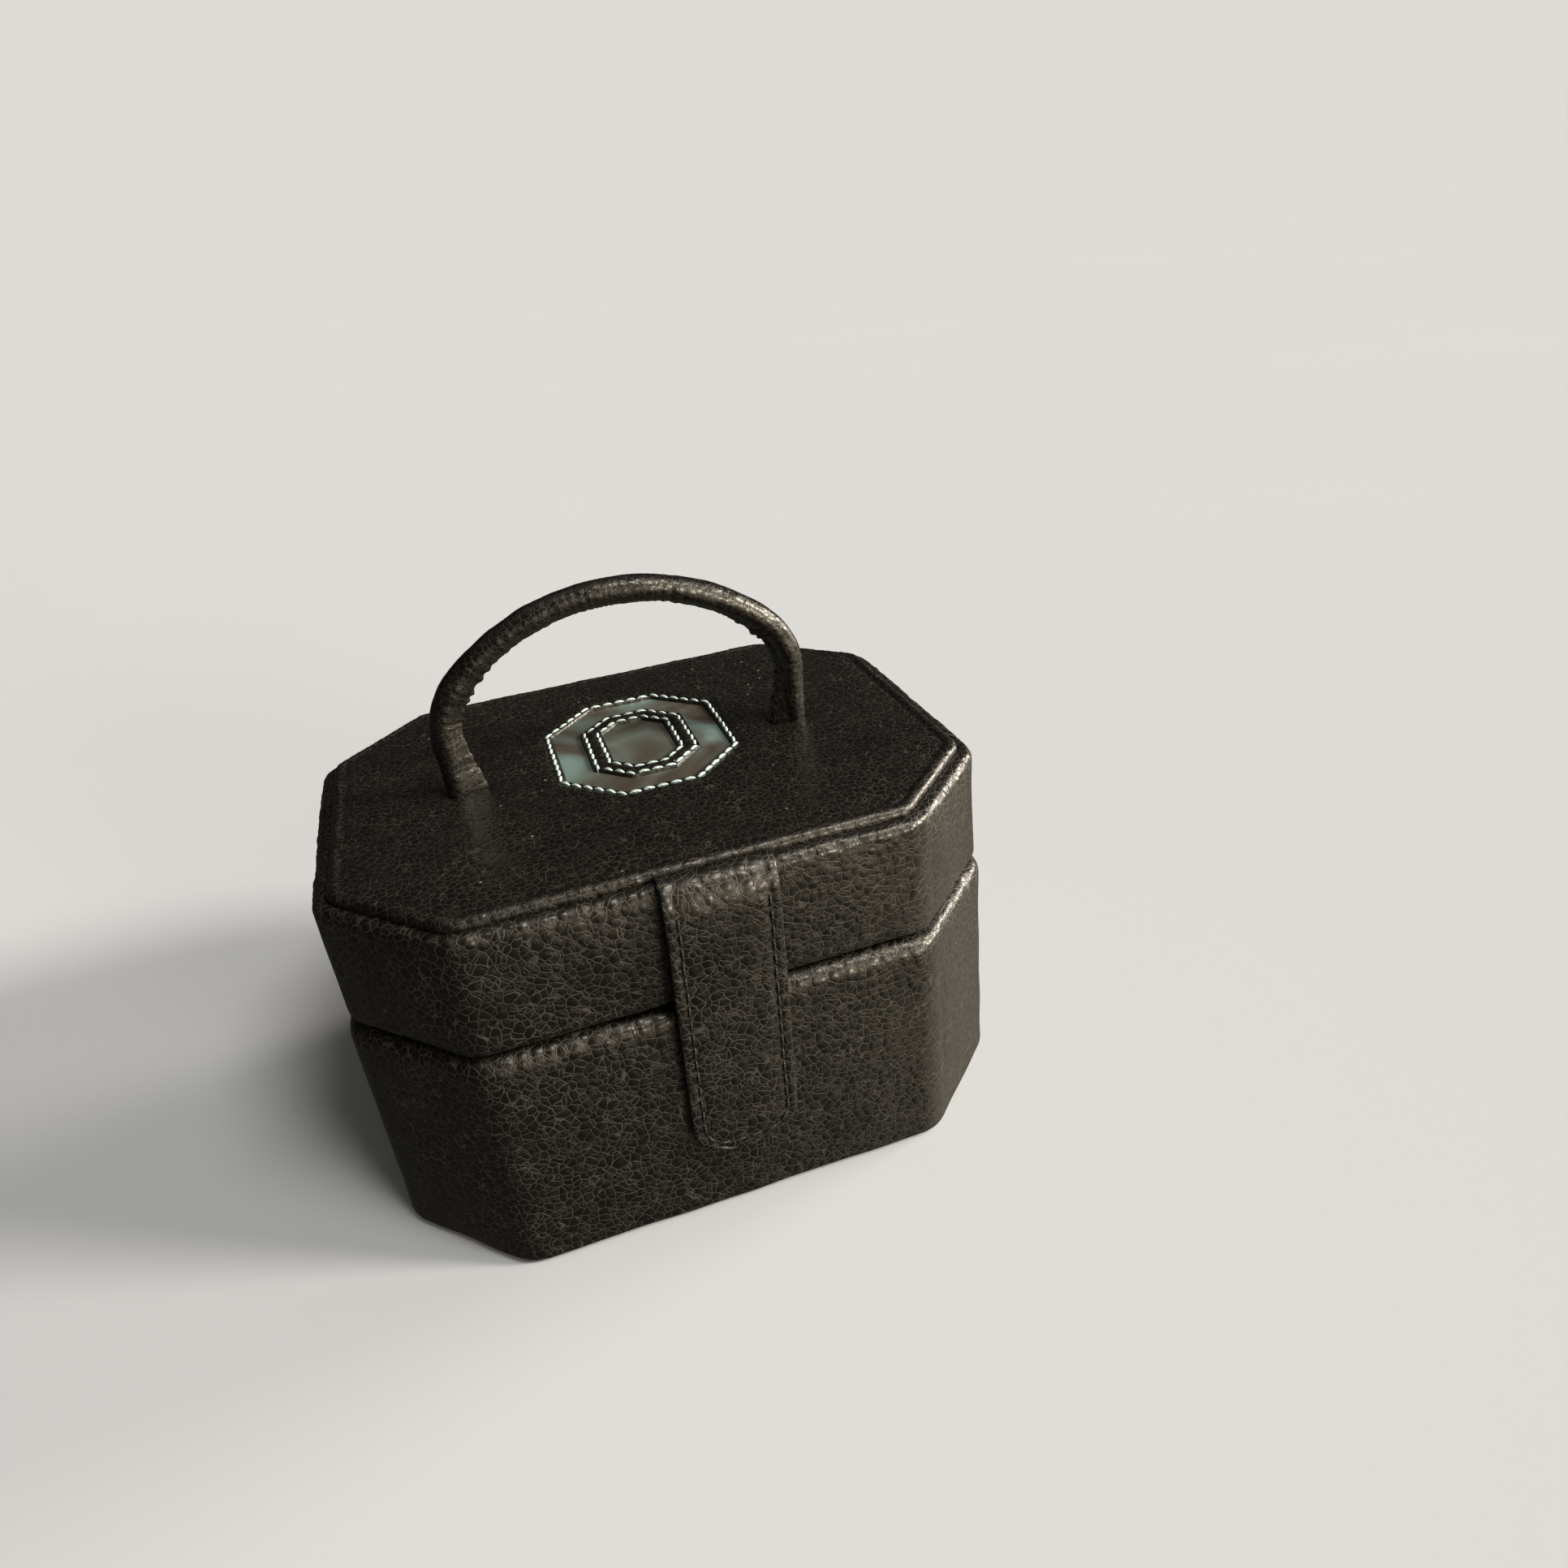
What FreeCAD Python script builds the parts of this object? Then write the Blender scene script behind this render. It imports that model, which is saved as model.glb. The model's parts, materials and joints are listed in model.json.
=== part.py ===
import FreeCAD, Part
import math
import os
import Sketcher

# Octagonal travel jewelry box: a padded leather case whose lid turns on a leather hinge strip at the
# back, with a standing carrying handle on the lid and a magnetic clasp tab at the front.
# +X runs along the long side, -Y is the front, +Z is up. The origin is under the middle of the base.

os.makedirs("parts", exist_ok=True)
doc = FreeCAD.newDocument("jewelry_box")

# ---------------------------------------------------------------- driving dimensions, millimetres
DIMENSIONS = {
    # outline of the base, and the eight-sided shape
    "box_width": 108.0,
    "box_depth": 85.0,
    "corner_cut": 18.0,
    "edge_round": 7.5,
    "least_round": 0.6,
    # heights of the two halves
    "base_top": 42.2,
    "lid_bottom": 42.8,
    "lid_shoulder": 64.0,
    "panel_top": 65.4,
    # layers of the walls
    "leather": 0.9,
    "foam": 1.0,
    "base_board": 1.8,
    "lid_board": 1.4,
    "floor_board": 2.0,
    "glue_gap": 0.05,
    "play": 0.1,
    "base_shoulder_round": 2.6,
    "base_foot_round": 2.0,
    "lid_inset": 0.8,
    "lid_shoulder_round": 1.9,
    "rim_round": 1.4,
    "turn_in": 10.0,
    "turn_under": 9.0,
    # locating collar and the linings
    "collar_inset": 5.1,
    "collar_board_thick": 1.5,
    "collar_rise": 5.4,
    "velvet": 0.8,
    "lid_velvet": 0.35,
    "lining_rise": 0.4,
    "floor_pad_thick": 3.0,
    # compartments
    "divider_thick": 2.4,
    "divider_top": 36.0,
    "long_divider_place": -4.0,
    "cross_divider_place": 4.0,
    "roll_top": 33.0,
    "roll_gap": 0.2,
    "roll_round": 4.0,
    "roll_count": 4.0,
    # lid's top
    "top_board": 1.9,
    "panel_inset": 3.2,
    "panel_deep": 3.1,
    "panel_board": 1.0,
    "panel_round": 1.6,
    "ceiling_pad": 1.7,
    "ceiling_gap": 1.3,
    "mirror_thick": 1.5,
    "mirror_inset": 9.5,
    # motif on the panel
    "motif_place_x": 2.0,
    "motif_place_y": 5.0,
    "motif_wide": 29.0,
    "motif_deep": 36.0,
    "motif_cut": 8.5,
    "motif_stroke": 5.0,
    "motif_ring": 3.8,
    "foil": 0.35,
    "foil_gap": 0.1,
    "thread_wide": 0.6,
    "thread_high": 0.36,
    # carrying handle
    "handle_span": 59.9,
    "handle_top": 94.75,
    "handle_radius": 2.2,
    "handle_core_radius": 1.4,
    "handle_shoulder": 13.0,
    "handle_straight": 75.0,
    "handle_end_top": 74.0,
    "handle_end_in": 1.55,
    "handle_end_wide": 6.4,
    "handle_end_thick": 3.0,
    "handle_pivot": 67.1,
    "seam_thick": 1.4,
    "seam_deep": 1.3,
    "tail_wide": 6.0,
    "tail_thick": 1.2,
    "tail_length": 9.0,
    "slit_gap": 0.2,
    # clasp tab
    "tab_place": 2.5,
    "tab_wide": 17.4,
    "tab_foot": 14.0,
    "tab_round": 6.0,
    "tab_pivot": 61.0,
    "tab_gap": 0.15,
    "tab_front": 0.8,
    "tab_filler": 0.5,
    "tab_back": 0.6,
    "tab_filler_inset": 1.0,
    "tab_seam_inset": 1.9,
    "tab_seam_wide": 0.4,
    "tab_seam_high": 0.2,
    "tab_root_thick": 0.85,
    "tab_root_length": 9.2,
    "tab_root_bevel": 1.2,
    "tab_root_foot": 62.15,
    "magnet_radius": 4.5,
    "magnet_height": 24.0,
    # hinge strip
    "hinge_wide": 58.0,
    "hinge_thick": 1.0,
    "hinge_leaf": 16.0,
    "hinge_axis_height": 42.5,
    "hinge_axis_out": 0.6,
    "hinge_fold_radius": 0.6,
    "hinge_fold_gap": 0.25,
}

TINY = 1e-6

sheet = doc.addObject("Spreadsheet::Sheet", "dims")
for row, (alias, number) in enumerate(DIMENSIONS.items(), start=1):
    sheet.set(f"A{row}", alias)
    sheet.set(f"B{row}", str(number))
    sheet.setAlias(f"B{row}", alias)
doc.recompute()

nodes = {}


# ---------------------------------------------------------------- helpers
def size(expression):
    """The value of an expression on the sheet."""
    return float(sheet.evalExpression(expression))


def total(*terms):
    return " + ".join(f"({term})" for term in terms)


def keep(label, thing):
    """Registers a finished sub-part under the name of its file."""
    thing.Label = label
    nodes[label] = thing
    return thing


def new_body(label):
    return keep(label, doc.addObject("PartDesign::Body", label))


def flat_sketch(body, name, role, level):
    """An empty sketch on one of the body's own planes, moved along the plane's normal to `level`."""
    plane = next(f for f in body.Origin.OriginFeatures if f.Role == role)
    sketch = body.newObject("Sketcher::SketchObject", name)
    sketch.AttachmentSupport = [(plane, "")]
    sketch.MapMode = "FlatFace"
    sketch.setExpression("AttachmentOffset.Base.z", level)
    return sketch


def drive(sketch, kind, geometry, point, expression):
    """Binds one coordinate of a sketch point to an expression."""
    constraint = Sketcher.Constraint(kind, -1, 1, geometry, point, size(expression))
    index = sketch.addConstraint(constraint)
    sketch.setExpression(f"Constraints[{index}]", expression)


def add_loop(sketch, corners):
    """A closed run of lines through corners given as pairs of expressions."""
    places = [FreeCAD.Vector(size(x), size(y), 0) for x, y in corners]
    count = len(places)
    first = sketch.GeometryCount
    sides = [Part.LineSegment(places[k], places[(k + 1) % count]) for k in range(count)]
    sketch.addGeometry(sides, False)
    for k in range(count):
        joined = Sketcher.Constraint("Coincident", first + k, 2, first + (k + 1) % count, 1)
        sketch.addConstraint(joined)
    for k, (x, y) in enumerate(corners):
        drive(sketch, "DistanceX", first + k, 1, x)
        drive(sketch, "DistanceY", first + k, 1, y)


def add_circle(sketch, x, y, radius):
    centre = FreeCAD.Vector(size(x), size(y), 0)
    index = sketch.addGeometry(Part.Circle(centre, FreeCAD.Vector(0, 0, 1), size(radius)), False)
    drive(sketch, "DistanceX", index, 3, x)
    drive(sketch, "DistanceY", index, 3, y)
    fixed = sketch.addConstraint(Sketcher.Constraint("Radius", index, size(radius)))
    sketch.setExpression(f"Constraints[{fixed}]", radius)


def octagon(inset, wide="dims.box_width", deep="dims.box_depth", corner="dims.corner_cut"):
    """Corners of an eight-sided outline, moved inwards by `inset` on every side."""
    slant = 2 - math.sqrt(2)
    half_x = f"{wide} / 2 - ({inset})"
    half_y = f"{deep} / 2 - ({inset})"
    cut = f"({corner} - {slant:.6f} * ({inset}))"
    quarter = [(half_x, f"{half_y} - {cut}"), (f"{half_x} - {cut}", half_y)]
    left = [(f"-({x})", y) for x, y in reversed(quarter)]
    upper = quarter + left
    return upper + [(x, f"-({y})") for x, y in reversed(upper)]


def rectangle(low_x, high_x, low_y, high_y):
    return [(low_x, low_y), (high_x, low_y), (high_x, high_y), (low_x, high_y)]


def pad(body, name, sketch, length):
    feature = body.newObject("PartDesign::Pad", name)
    feature.Profile = sketch
    feature.setExpression("Length", length)
    doc.recompute()
    return feature


def pocket(body, name, sketch, length, forward=True):
    """Cuts along the sketch's normal, or against it, and checks that material went away."""
    before = body.Shape.Volume
    feature = body.newObject("PartDesign::Pocket", name)
    feature.Profile = sketch
    feature.Reversed = forward
    feature.setExpression("Length", length)
    doc.recompute()
    if body.Shape.Volume > before - TINY:
        raise RuntimeError(f"{body.Label}: {name} cuts nothing")
    return feature


def fillet(body, name, base, chosen, radius):
    edges = [f"Edge{k + 1}" for k, edge in enumerate(base.Shape.Edges) if chosen(edge)]
    if not edges:
        raise RuntimeError(f"{body.Label}: {name} has no edges")
    feature = body.newObject("PartDesign::Fillet", name)
    feature.Base = (base, edges)
    feature.setExpression("Radius", radius)
    doc.recompute()
    return feature


def along(axis):
    """Chooses the straight edges that run along one axis."""
    def chosen(edge):
        box = edge.BoundBox
        spans = {"X": box.XLength, "Y": box.YLength, "Z": box.ZLength}
        run = spans.pop(axis)
        return run > TINY and max(spans.values()) < TINY
    return chosen


def low_edges(axis, height):
    """Chooses the straight edges along one axis that lie at one height."""
    straight = along(axis)
    return lambda edge: straight(edge) and abs(edge.BoundBox.ZMin - height) < TINY


def at_level(height):
    """Chooses the edges that lie wholly at one height."""
    def chosen(edge):
        box = edge.BoundBox
        return abs(box.ZMin - height) < TINY and abs(box.ZMax - height) < TINY
    return chosen


def upright_round(inset):
    return f"max(dims.edge_round - ({inset}); dims.least_round)"


def octagon_plate(label, inset, low, high):
    """A solid eight-sided plate or block with rounded upright edges."""
    body = new_body(label)
    sketch = flat_sketch(body, f"{label}_outline", "XY_Plane", low)
    add_loop(sketch, octagon(inset))
    block = pad(body, f"{label}_pad", sketch, f"({high}) - ({low})")
    fillet(body, f"{label}_uprights", block, along("Z"), upright_round(inset))
    return body


def hollow(body, name, inset, low, high):
    """Cuts an eight-sided well, open or blind, between two heights."""
    sketch = flat_sketch(body, f"{name}_outline", "XY_Plane", low)
    add_loop(sketch, octagon(inset))
    return pocket(body, name, sketch, f"({high}) - ({low})")


def octagon_ring(label, outside, inside, low, high):
    """A wall ring between two insets."""
    body = octagon_plate(label, outside, low, high)
    hollow(body, f"{label}_well", inside, low, high)
    return body


def slits(body, name, low, high):
    """The two openings in the lid's top that the handle's tails pass through."""
    half_wide = "(dims.tail_wide / 2 + dims.slit_gap)"
    half_thick = "(dims.tail_thick / 2 + dims.slit_gap)"
    sketch = flat_sketch(body, f"{name}_outline", "XY_Plane", low)
    for side in ("-1", "1"):
        place = f"{side} * {HANDLE_END_X}"
        edges = (f"{place} - {half_wide}", f"{place} + {half_wide}", f"-{half_thick}", half_thick)
        add_loop(sketch, rectangle(*edges))
    return pocket(body, name, sketch, f"({high}) - ({low})")


def tab_notch(body, name, low, high, length):
    """Room for the tab's glued end, from the front edge of the lid's top inwards."""
    half = "(dims.tab_wide / 2 + dims.slit_gap)"
    sketch = flat_sketch(body, f"{name}_outline", "XY_Plane", low)
    edges = (f"dims.tab_place - {half}", f"dims.tab_place + {half}",
             f"{FRONT} - dims.tab_front", f"{FRONT} + ({length})")
    add_loop(sketch, rectangle(*edges))
    return pocket(body, name, sketch, f"({high}) - ({low})")


def block(label, low, span):
    """A plain rectangular piece, from expressions for its low corner and its three sizes."""
    thing = keep(label, doc.addObject("Part::Box", label))
    for name, expression in zip(("Length", "Width", "Height"), span):
        thing.setExpression(name, expression)
    for axis, expression in zip("xyz", low):
        thing.setExpression(f"Placement.Base.{axis}", expression)
    return thing


def front_disc(label, radius, back, thick):
    """A disc that faces the front, from its back face at y = `back`, centred on the clasp."""
    disc = keep(label, doc.addObject("Part::Cylinder", label))
    disc.Placement = FreeCAD.Placement(
        FreeCAD.Vector(), FreeCAD.Rotation(FreeCAD.Vector(1, 0, 0), 90))
    disc.setExpression("Radius", radius)
    disc.setExpression("Height", thick)
    disc.setExpression("Placement.Base.x", "dims.tab_place")
    disc.setExpression("Placement.Base.y", back)
    disc.setExpression("Placement.Base.z", "dims.magnet_height")
    return disc


def set_shape(label, shape):
    """A piece made with Part's own functions, in the box's frame."""
    thing = keep(label, doc.addObject("Part::Feature", label))
    thing.Shape = shape
    thing.Placement = FreeCAD.Placement()
    return thing


# ---------------------------------------------------------------- shared places
LEATHER_IN = "dims.leather + dims.glue_gap"
FOAM_IN = total("dims.leather", "dims.foam", "2 * dims.glue_gap")
HANDLE_END_X = "(dims.handle_span / 2 - dims.handle_end_in)"
LID = "dims.lid_inset"
PANEL_LOW = "(dims.panel_top - dims.panel_deep)"
TOP_BOARD_LOW = f"({PANEL_LOW} - dims.glue_gap - dims.top_board)"
FRONT = "(-dims.box_depth / 2)"
BACK = "(dims.box_depth / 2)"
FLOOR_TOP = total("dims.leather", "dims.floor_board", "2 * dims.glue_gap")
ROOM_INSET = total("dims.collar_inset", "dims.collar_board_thick", "dims.velvet")


# ---------------------------------------------------------------- base
def base_cover():
    """Leather skin of the base: wall, rolled rim, turn-in and the margin under the floor."""
    body = octagon_plate("base_wall_cover", "0", "0", "dims.base_top")
    uprights = body.Tip
    rim = fillet(body, "base_rim_round", uprights, at_level(size("dims.base_top")),
                 "dims.base_shoulder_round")
    fillet(body, "base_foot_round_edge", rim, at_level(0), "dims.base_foot_round")
    mouth = "dims.collar_inset - dims.glue_gap"
    ceiling = "dims.base_top - dims.leather"
    turn_in_foot = "dims.base_top - dims.turn_in"
    hollow(body, "base_cover_well", "dims.leather", "dims.leather", turn_in_foot)
    ring = flat_sketch(body, "base_wall_space_outline", "XY_Plane", turn_in_foot)
    add_loop(ring, octagon("dims.leather"))
    add_loop(ring, octagon(f"{mouth} - dims.leather"))
    pocket(body, "base_wall_space", ring, f"({ceiling}) - ({turn_in_foot})")
    hollow(body, "base_mouth", mouth, turn_in_foot, "dims.base_top")
    hollow(body, "base_under_opening", "dims.turn_under", "0", "dims.leather")


def base_boards():
    wall_low = FLOOR_TOP
    wall_high = "dims.base_top - dims.leather - dims.glue_gap"
    wall_in = total(FOAM_IN, "dims.base_board")
    octagon_plate("base_bottom_board", FOAM_IN, LEATHER_IN, total(LEATHER_IN, "dims.floor_board"))
    wall = octagon_ring("base_wall_board", FOAM_IN, wall_in, wall_low, wall_high)
    hole = flat_sketch(wall, "magnet_hole_outline", "XZ_Plane", "dims.box_depth / 2")
    add_circle(hole, "dims.tab_place", "dims.magnet_height", "dims.magnet_radius + dims.glue_gap")
    pocket(wall, "magnet_hole", hole, "dims.box_depth / 4", forward=False)
    foam_in = total("dims.leather", "dims.foam", "dims.glue_gap")
    octagon_ring("base_wall_foam", LEATHER_IN, foam_in, LEATHER_IN, wall_high)
    front_disc("base_magnet", "dims.magnet_radius", f"{FRONT} + {wall_in}", "dims.base_board")
    octagon_plate("base_bottom_cover", "dims.turn_under + dims.glue_gap", "0", "dims.leather")


def base_inside():
    top = "dims.base_top + dims.collar_rise"
    board_in = total("dims.collar_inset", "dims.collar_board_thick")
    lip = f"{top} + dims.velvet"
    octagon_ring("collar_board", "dims.collar_inset", board_in, FLOOR_TOP, top)
    lining = octagon_plate("base_lining", "dims.collar_inset", FLOOR_TOP, lip)
    fillet(lining, "collar_lip_round", lining.Tip, at_level(size(lip)), "dims.velvet / 2")
    hollow(lining, "base_lining_room", ROOM_INSET, FLOOR_TOP, lip)
    seat = flat_sketch(lining, "collar_seat_outline", "XY_Plane", FLOOR_TOP)
    add_loop(seat, octagon("0"))
    add_loop(seat, octagon(board_in))
    pocket(lining, "collar_seat", seat, f"({top}) - ({FLOOR_TOP})")
    pad_low = total(FLOOR_TOP, "dims.glue_gap")
    octagon_plate("floor_pad", total(ROOM_INSET, "dims.glue_gap"), pad_low,
                  total(pad_low, "dims.floor_pad_thick"))


def dividers_and_rolls():
    low = total(FLOOR_TOP, "2 * dims.glue_gap", "dims.floor_pad_thick")
    room_x = f"(dims.box_width / 2 - ({ROOM_INSET}) - 2 * dims.play)"
    room_y = f"(dims.box_depth / 2 - ({ROOM_INSET}) - 2 * dims.play)"
    thick = "dims.divider_thick"
    rise = f"dims.divider_top - ({low})"
    half = f"{thick} / 2"
    block("long_divider", (f"dims.long_divider_place - {half}", f"-{room_y}", low),
          (thick, f"2 * {room_y}", rise))
    right = f"dims.long_divider_place + {half} + dims.play"
    block("cross_divider", (right, f"dims.cross_divider_place - {half}", low),
          (f"{room_x} - ({right})", thick, rise))
    room = octagon_plate("ring_room", f"{ROOM_INSET} + 3 * dims.play", low, "dims.roll_top")
    nodes.pop("ring_room")
    bay = f"({room_x} + dims.long_divider_place - {half} - dims.play)"
    pitch = f"({bay} / dims.roll_count)"
    for k in range(int(size("dims.roll_count"))):
        label = f"ring_roll_{k + 1}"
        start = f"-{room_x} + {k} * {pitch} + dims.roll_gap / 2"
        bar = block(f"{label}_bar", (start, f"-{room_y}", low),
                    (f"{pitch} - dims.roll_gap", f"2 * {room_y}", f"dims.roll_top - ({low})"))
        nodes.pop(f"{label}_bar")
        doc.recompute()
        crest = size("dims.roll_top")
        lengthwise = along("Y")
        tops = [i + 1 for i, edge in enumerate(bar.Shape.Edges)
                if lengthwise(edge) and abs(edge.BoundBox.ZMax - crest) < TINY]
        rounded = doc.addObject("Part::Fillet", f"{label}_rounded")
        rounded.Base = bar
        rounded.Edges = [(i, size("dims.roll_round"), size("dims.roll_round")) for i in tops]
        roll = keep(label, doc.addObject("Part::Common", label))
        roll.Base = rounded
        roll.Tool = room
        doc.recompute()


# ---------------------------------------------------------------- lid
def lid_cover():
    """Leather skin of the lid's wall: rolled lower rim, wall, shoulder, and the lip round the panel."""
    body = octagon_plate("lid_wall_cover", LID, "dims.lid_bottom", "dims.lid_shoulder")
    shoulder = fillet(body, "lid_shoulder_edge", body.Tip, at_level(size("dims.lid_shoulder")),
                      "dims.lid_shoulder_round")
    fillet(body, "lid_rim_edge", shoulder, at_level(size("dims.lid_bottom")), "dims.rim_round")
    skin = total(LID, "dims.leather")
    rim_in = total(LID, FOAM_IN, "dims.lid_board")
    floor = "dims.lid_bottom + dims.leather"
    ceiling = "dims.lid_shoulder - dims.leather"
    hollow(body, "lid_cover_well", skin, floor, ceiling)
    hollow(body, "lid_mouth", rim_in, "dims.lid_bottom", floor)
    hollow(body, "panel_seat", "dims.panel_inset - dims.glue_gap", ceiling, "dims.lid_shoulder")
    tab_notch(body, "lid_notch", ceiling, "dims.lid_shoulder", "dims.panel_inset + dims.leather")


def lid_boards():
    low = "dims.lid_bottom + dims.leather + dims.glue_gap"
    top_low = TOP_BOARD_LOW
    top_high = f"{top_low} + dims.top_board"
    foam_high = "dims.lid_shoulder - dims.leather - dims.glue_gap"
    leather_in = total(LID, LEATHER_IN)
    foam_in = total(LID, "dims.leather", "dims.foam", "dims.glue_gap")
    board_out = total(LID, FOAM_IN)
    board_in = total(board_out, "dims.lid_board")
    octagon_ring("lid_wall_board", board_out, board_in, low, f"{top_low} - dims.glue_gap")
    octagon_ring("lid_wall_foam", leather_in, foam_in, low, foam_high)
    top = octagon_plate("lid_top_board", board_out, top_low, top_high)
    slits(top, "top_board_slits", top_low, top_high)


def lid_panel():
    """The padded top panel: board, foam, and the leather that is rolled round their edge."""
    skin_in = total("dims.panel_inset", "dims.leather")
    board_high = total(PANEL_LOW, "dims.panel_board")
    foam_high = "dims.panel_top - dims.leather"
    board = octagon_plate("lid_panel_board", total(skin_in, "dims.glue_gap"), PANEL_LOW, board_high)
    foam = octagon_plate("lid_panel_foam", total(skin_in, "dims.glue_gap"),
                         f"{board_high} + dims.glue_gap", f"{foam_high} - dims.glue_gap")
    slits(board, "panel_board_slits", PANEL_LOW, board_high)
    slits(foam, "panel_foam_slits", board_high, foam_high)
    cover = octagon_plate("lid_panel_cover", "dims.panel_inset", PANEL_LOW, "dims.panel_top")
    fillet(cover, "panel_bead", cover.Tip, at_level(size("dims.panel_top")), "dims.panel_round")
    hollow(cover, "panel_cover_well", skin_in, PANEL_LOW, foam_high)
    slits(cover, "panel_cover_slits", foam_high, "dims.panel_top")
    notch_high = "dims.lid_shoulder + dims.glue_gap"
    for body, name in ((cover, "cover_notch"), (board, "board_notch"), (foam, "foam_notch")):
        tab_notch(body, name, PANEL_LOW, notch_high, "dims.tab_root_length + dims.slit_gap")
    window = flat_sketch(cover, "motif_window_outline", "XY_Plane", foam_high)
    add_loop(window, gem_outline("0"))
    pocket(cover, "motif_window", window, "dims.leather")


def lid_inside():
    wall_in = total(LID, FOAM_IN, "dims.lid_board")
    lining_out = total(wall_in, "dims.glue_gap")
    ceiling_high = f"{TOP_BOARD_LOW} - dims.glue_gap - dims.ceiling_gap"
    ceiling_low = f"{ceiling_high} - dims.ceiling_pad"
    octagon_ring("lid_lining", lining_out, total(lining_out, "dims.lid_velvet"),
                 "dims.lid_bottom + dims.lining_rise", f"{ceiling_low} - dims.glue_gap")
    octagon_plate("lid_ceiling_pad", total(wall_in, "3 * dims.play"), ceiling_low, ceiling_high)
    octagon_plate("mirror", "dims.mirror_inset", f"{ceiling_low} - dims.glue_gap - dims.mirror_thick",
                  f"{ceiling_low} - dims.glue_gap")


# ---------------------------------------------------------------- motif
def gem_outline(inset):
    """Corners of the motif, a step-cut gem seen from above, moved inwards by `inset`."""
    shape = ("dims.motif_wide", "dims.motif_deep", "dims.motif_cut")
    place_x, place_y = "dims.motif_place_x", "dims.motif_place_y"
    return [(f"{place_x} + {x}", f"{place_y} + {y}") for x, y in octagon(inset, *shape)]


def gem_plate(label, outside, inside, high):
    """A flat piece of the motif between two insets, or up to the middle if `inside` is None."""
    low = "dims.panel_top - dims.leather"
    body = new_body(label)
    sketch = flat_sketch(body, f"{label}_outline", "XY_Plane", low)
    add_loop(sketch, gem_outline(outside))
    if inside is not None:
        add_loop(sketch, gem_outline(inside))
    return pad(body, f"{label}_pad", sketch, f"({high}) - ({low})")


def thread_loop(inset):
    """One closed run of thread laid on the leather along the motif's outline."""
    level = size("dims.panel_top")

    def face(at):
        corners = [FreeCAD.Vector(size(x), size(y), level) for x, y in gem_outline(at)]
        return Part.Face(Part.makePolygon(corners + corners[:1]))

    strip = face(f"{inset} - dims.thread_wide / 2").cut(face(f"{inset} + dims.thread_wide / 2"))
    return strip.extrude(FreeCAD.Vector(0, 0, size("dims.thread_high")))


def motif():
    """A foil frame and a foil centre, with a leather ring between them and thread on every edge."""
    foil_high = "dims.panel_top - dims.leather + dims.foil"
    ring_out = "dims.motif_stroke"
    ring_in = total(ring_out, "dims.motif_ring")
    gap = "dims.foil_gap"
    gem_plate("motif_frame_foil", gap, f"{ring_out} - {gap}", foil_high)
    gem_plate("motif_ring", ring_out, ring_in, "dims.panel_top")
    gem_plate("motif_centre_foil", f"{ring_in} + {gap}", None, foil_high)
    runs = ["-dims.thread_wide", f"{ring_out} + dims.thread_wide", f"{ring_in} - dims.thread_wide"]
    set_shape("motif_stitching", Part.makeCompound([thread_loop(run) for run in runs]))


# ---------------------------------------------------------------- handle
def handle_path(sketch, offset):
    """The handle's arch, `offset` inside its middle line: two shoulder arcs under a flatter top arc."""
    half = f"(dims.handle_span / 2 - ({offset}))"
    rise = f"(dims.handle_top - dims.handle_straight - ({offset}))"
    small = f"(dims.handle_shoulder - ({offset}))"
    large = f"((({half} - {small}) ^ 2 + {rise} ^ 2 - {small} ^ 2) / (2 * ({rise} - {small})))"
    foot = "(dims.handle_end_top + dims.play)"
    spring_z = "dims.handle_straight"
    a, r, big = size(half), size(small), size(large)
    level, high = size(spring_z), size(rise)
    turn = math.atan2(level - (level + high - big), a - r)
    up = FreeCAD.Vector(0, 0, 1)
    right = FreeCAD.Vector(a - r, level, 0)
    left = FreeCAD.Vector(r - a, level, 0)
    middle = FreeCAD.Vector(0, level + high - big, 0)
    start = FreeCAD.Vector(a, size(foot), 0)
    end = FreeCAD.Vector(-a, size(foot), 0)
    sketch.addGeometry([
        Part.LineSegment(start, FreeCAD.Vector(a, level, 0)),
        Part.ArcOfCircle(Part.Circle(right, up, r), 0, turn),
        Part.ArcOfCircle(Part.Circle(middle, up, big), turn, math.pi - turn),
        Part.ArcOfCircle(Part.Circle(left, up, r), math.pi - turn, math.pi),
        Part.LineSegment(FreeCAD.Vector(-a, level, 0), end),
    ], False)
    for first in range(4):
        sketch.addConstraint(Sketcher.Constraint("Tangent", first, 2, first + 1, 1))
    drive(sketch, "DistanceX", 0, 1, half)
    drive(sketch, "DistanceY", 0, 1, foot)
    drive(sketch, "DistanceX", 0, 2, half)
    drive(sketch, "DistanceY", 0, 2, spring_z)
    drive(sketch, "DistanceX", 2, 3, "0")
    drive(sketch, "DistanceX", 3, 3, f"{small} - {half}")
    drive(sketch, "DistanceY", 4, 1, spring_z)
    drive(sketch, "DistanceY", 4, 2, foot)
    for arc, radius in ((1, small), (2, large), (3, small)):
        index = sketch.addConstraint(Sketcher.Constraint("Radius", arc, size(radius)))
        sketch.setExpression(f"Constraints[{index}]", radius)


def arch(label, offset, draw_profile):
    """A piece swept along the handle's arch."""
    body = new_body(label)
    path = flat_sketch(body, f"{label}_path", "XZ_Plane", "0")
    handle_path(path, offset)
    profile = flat_sketch(body, f"{label}_profile", "XY_Plane", "dims.handle_end_top + dims.play")
    draw_profile(profile)
    doc.recompute()
    sweep = body.newObject("PartDesign::AdditivePipe", f"{label}_sweep")
    sweep.Profile = profile
    sweep.Spine = (path, [f"Edge{k + 1}" for k in range(5)])
    doc.recompute()
    return body


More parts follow.
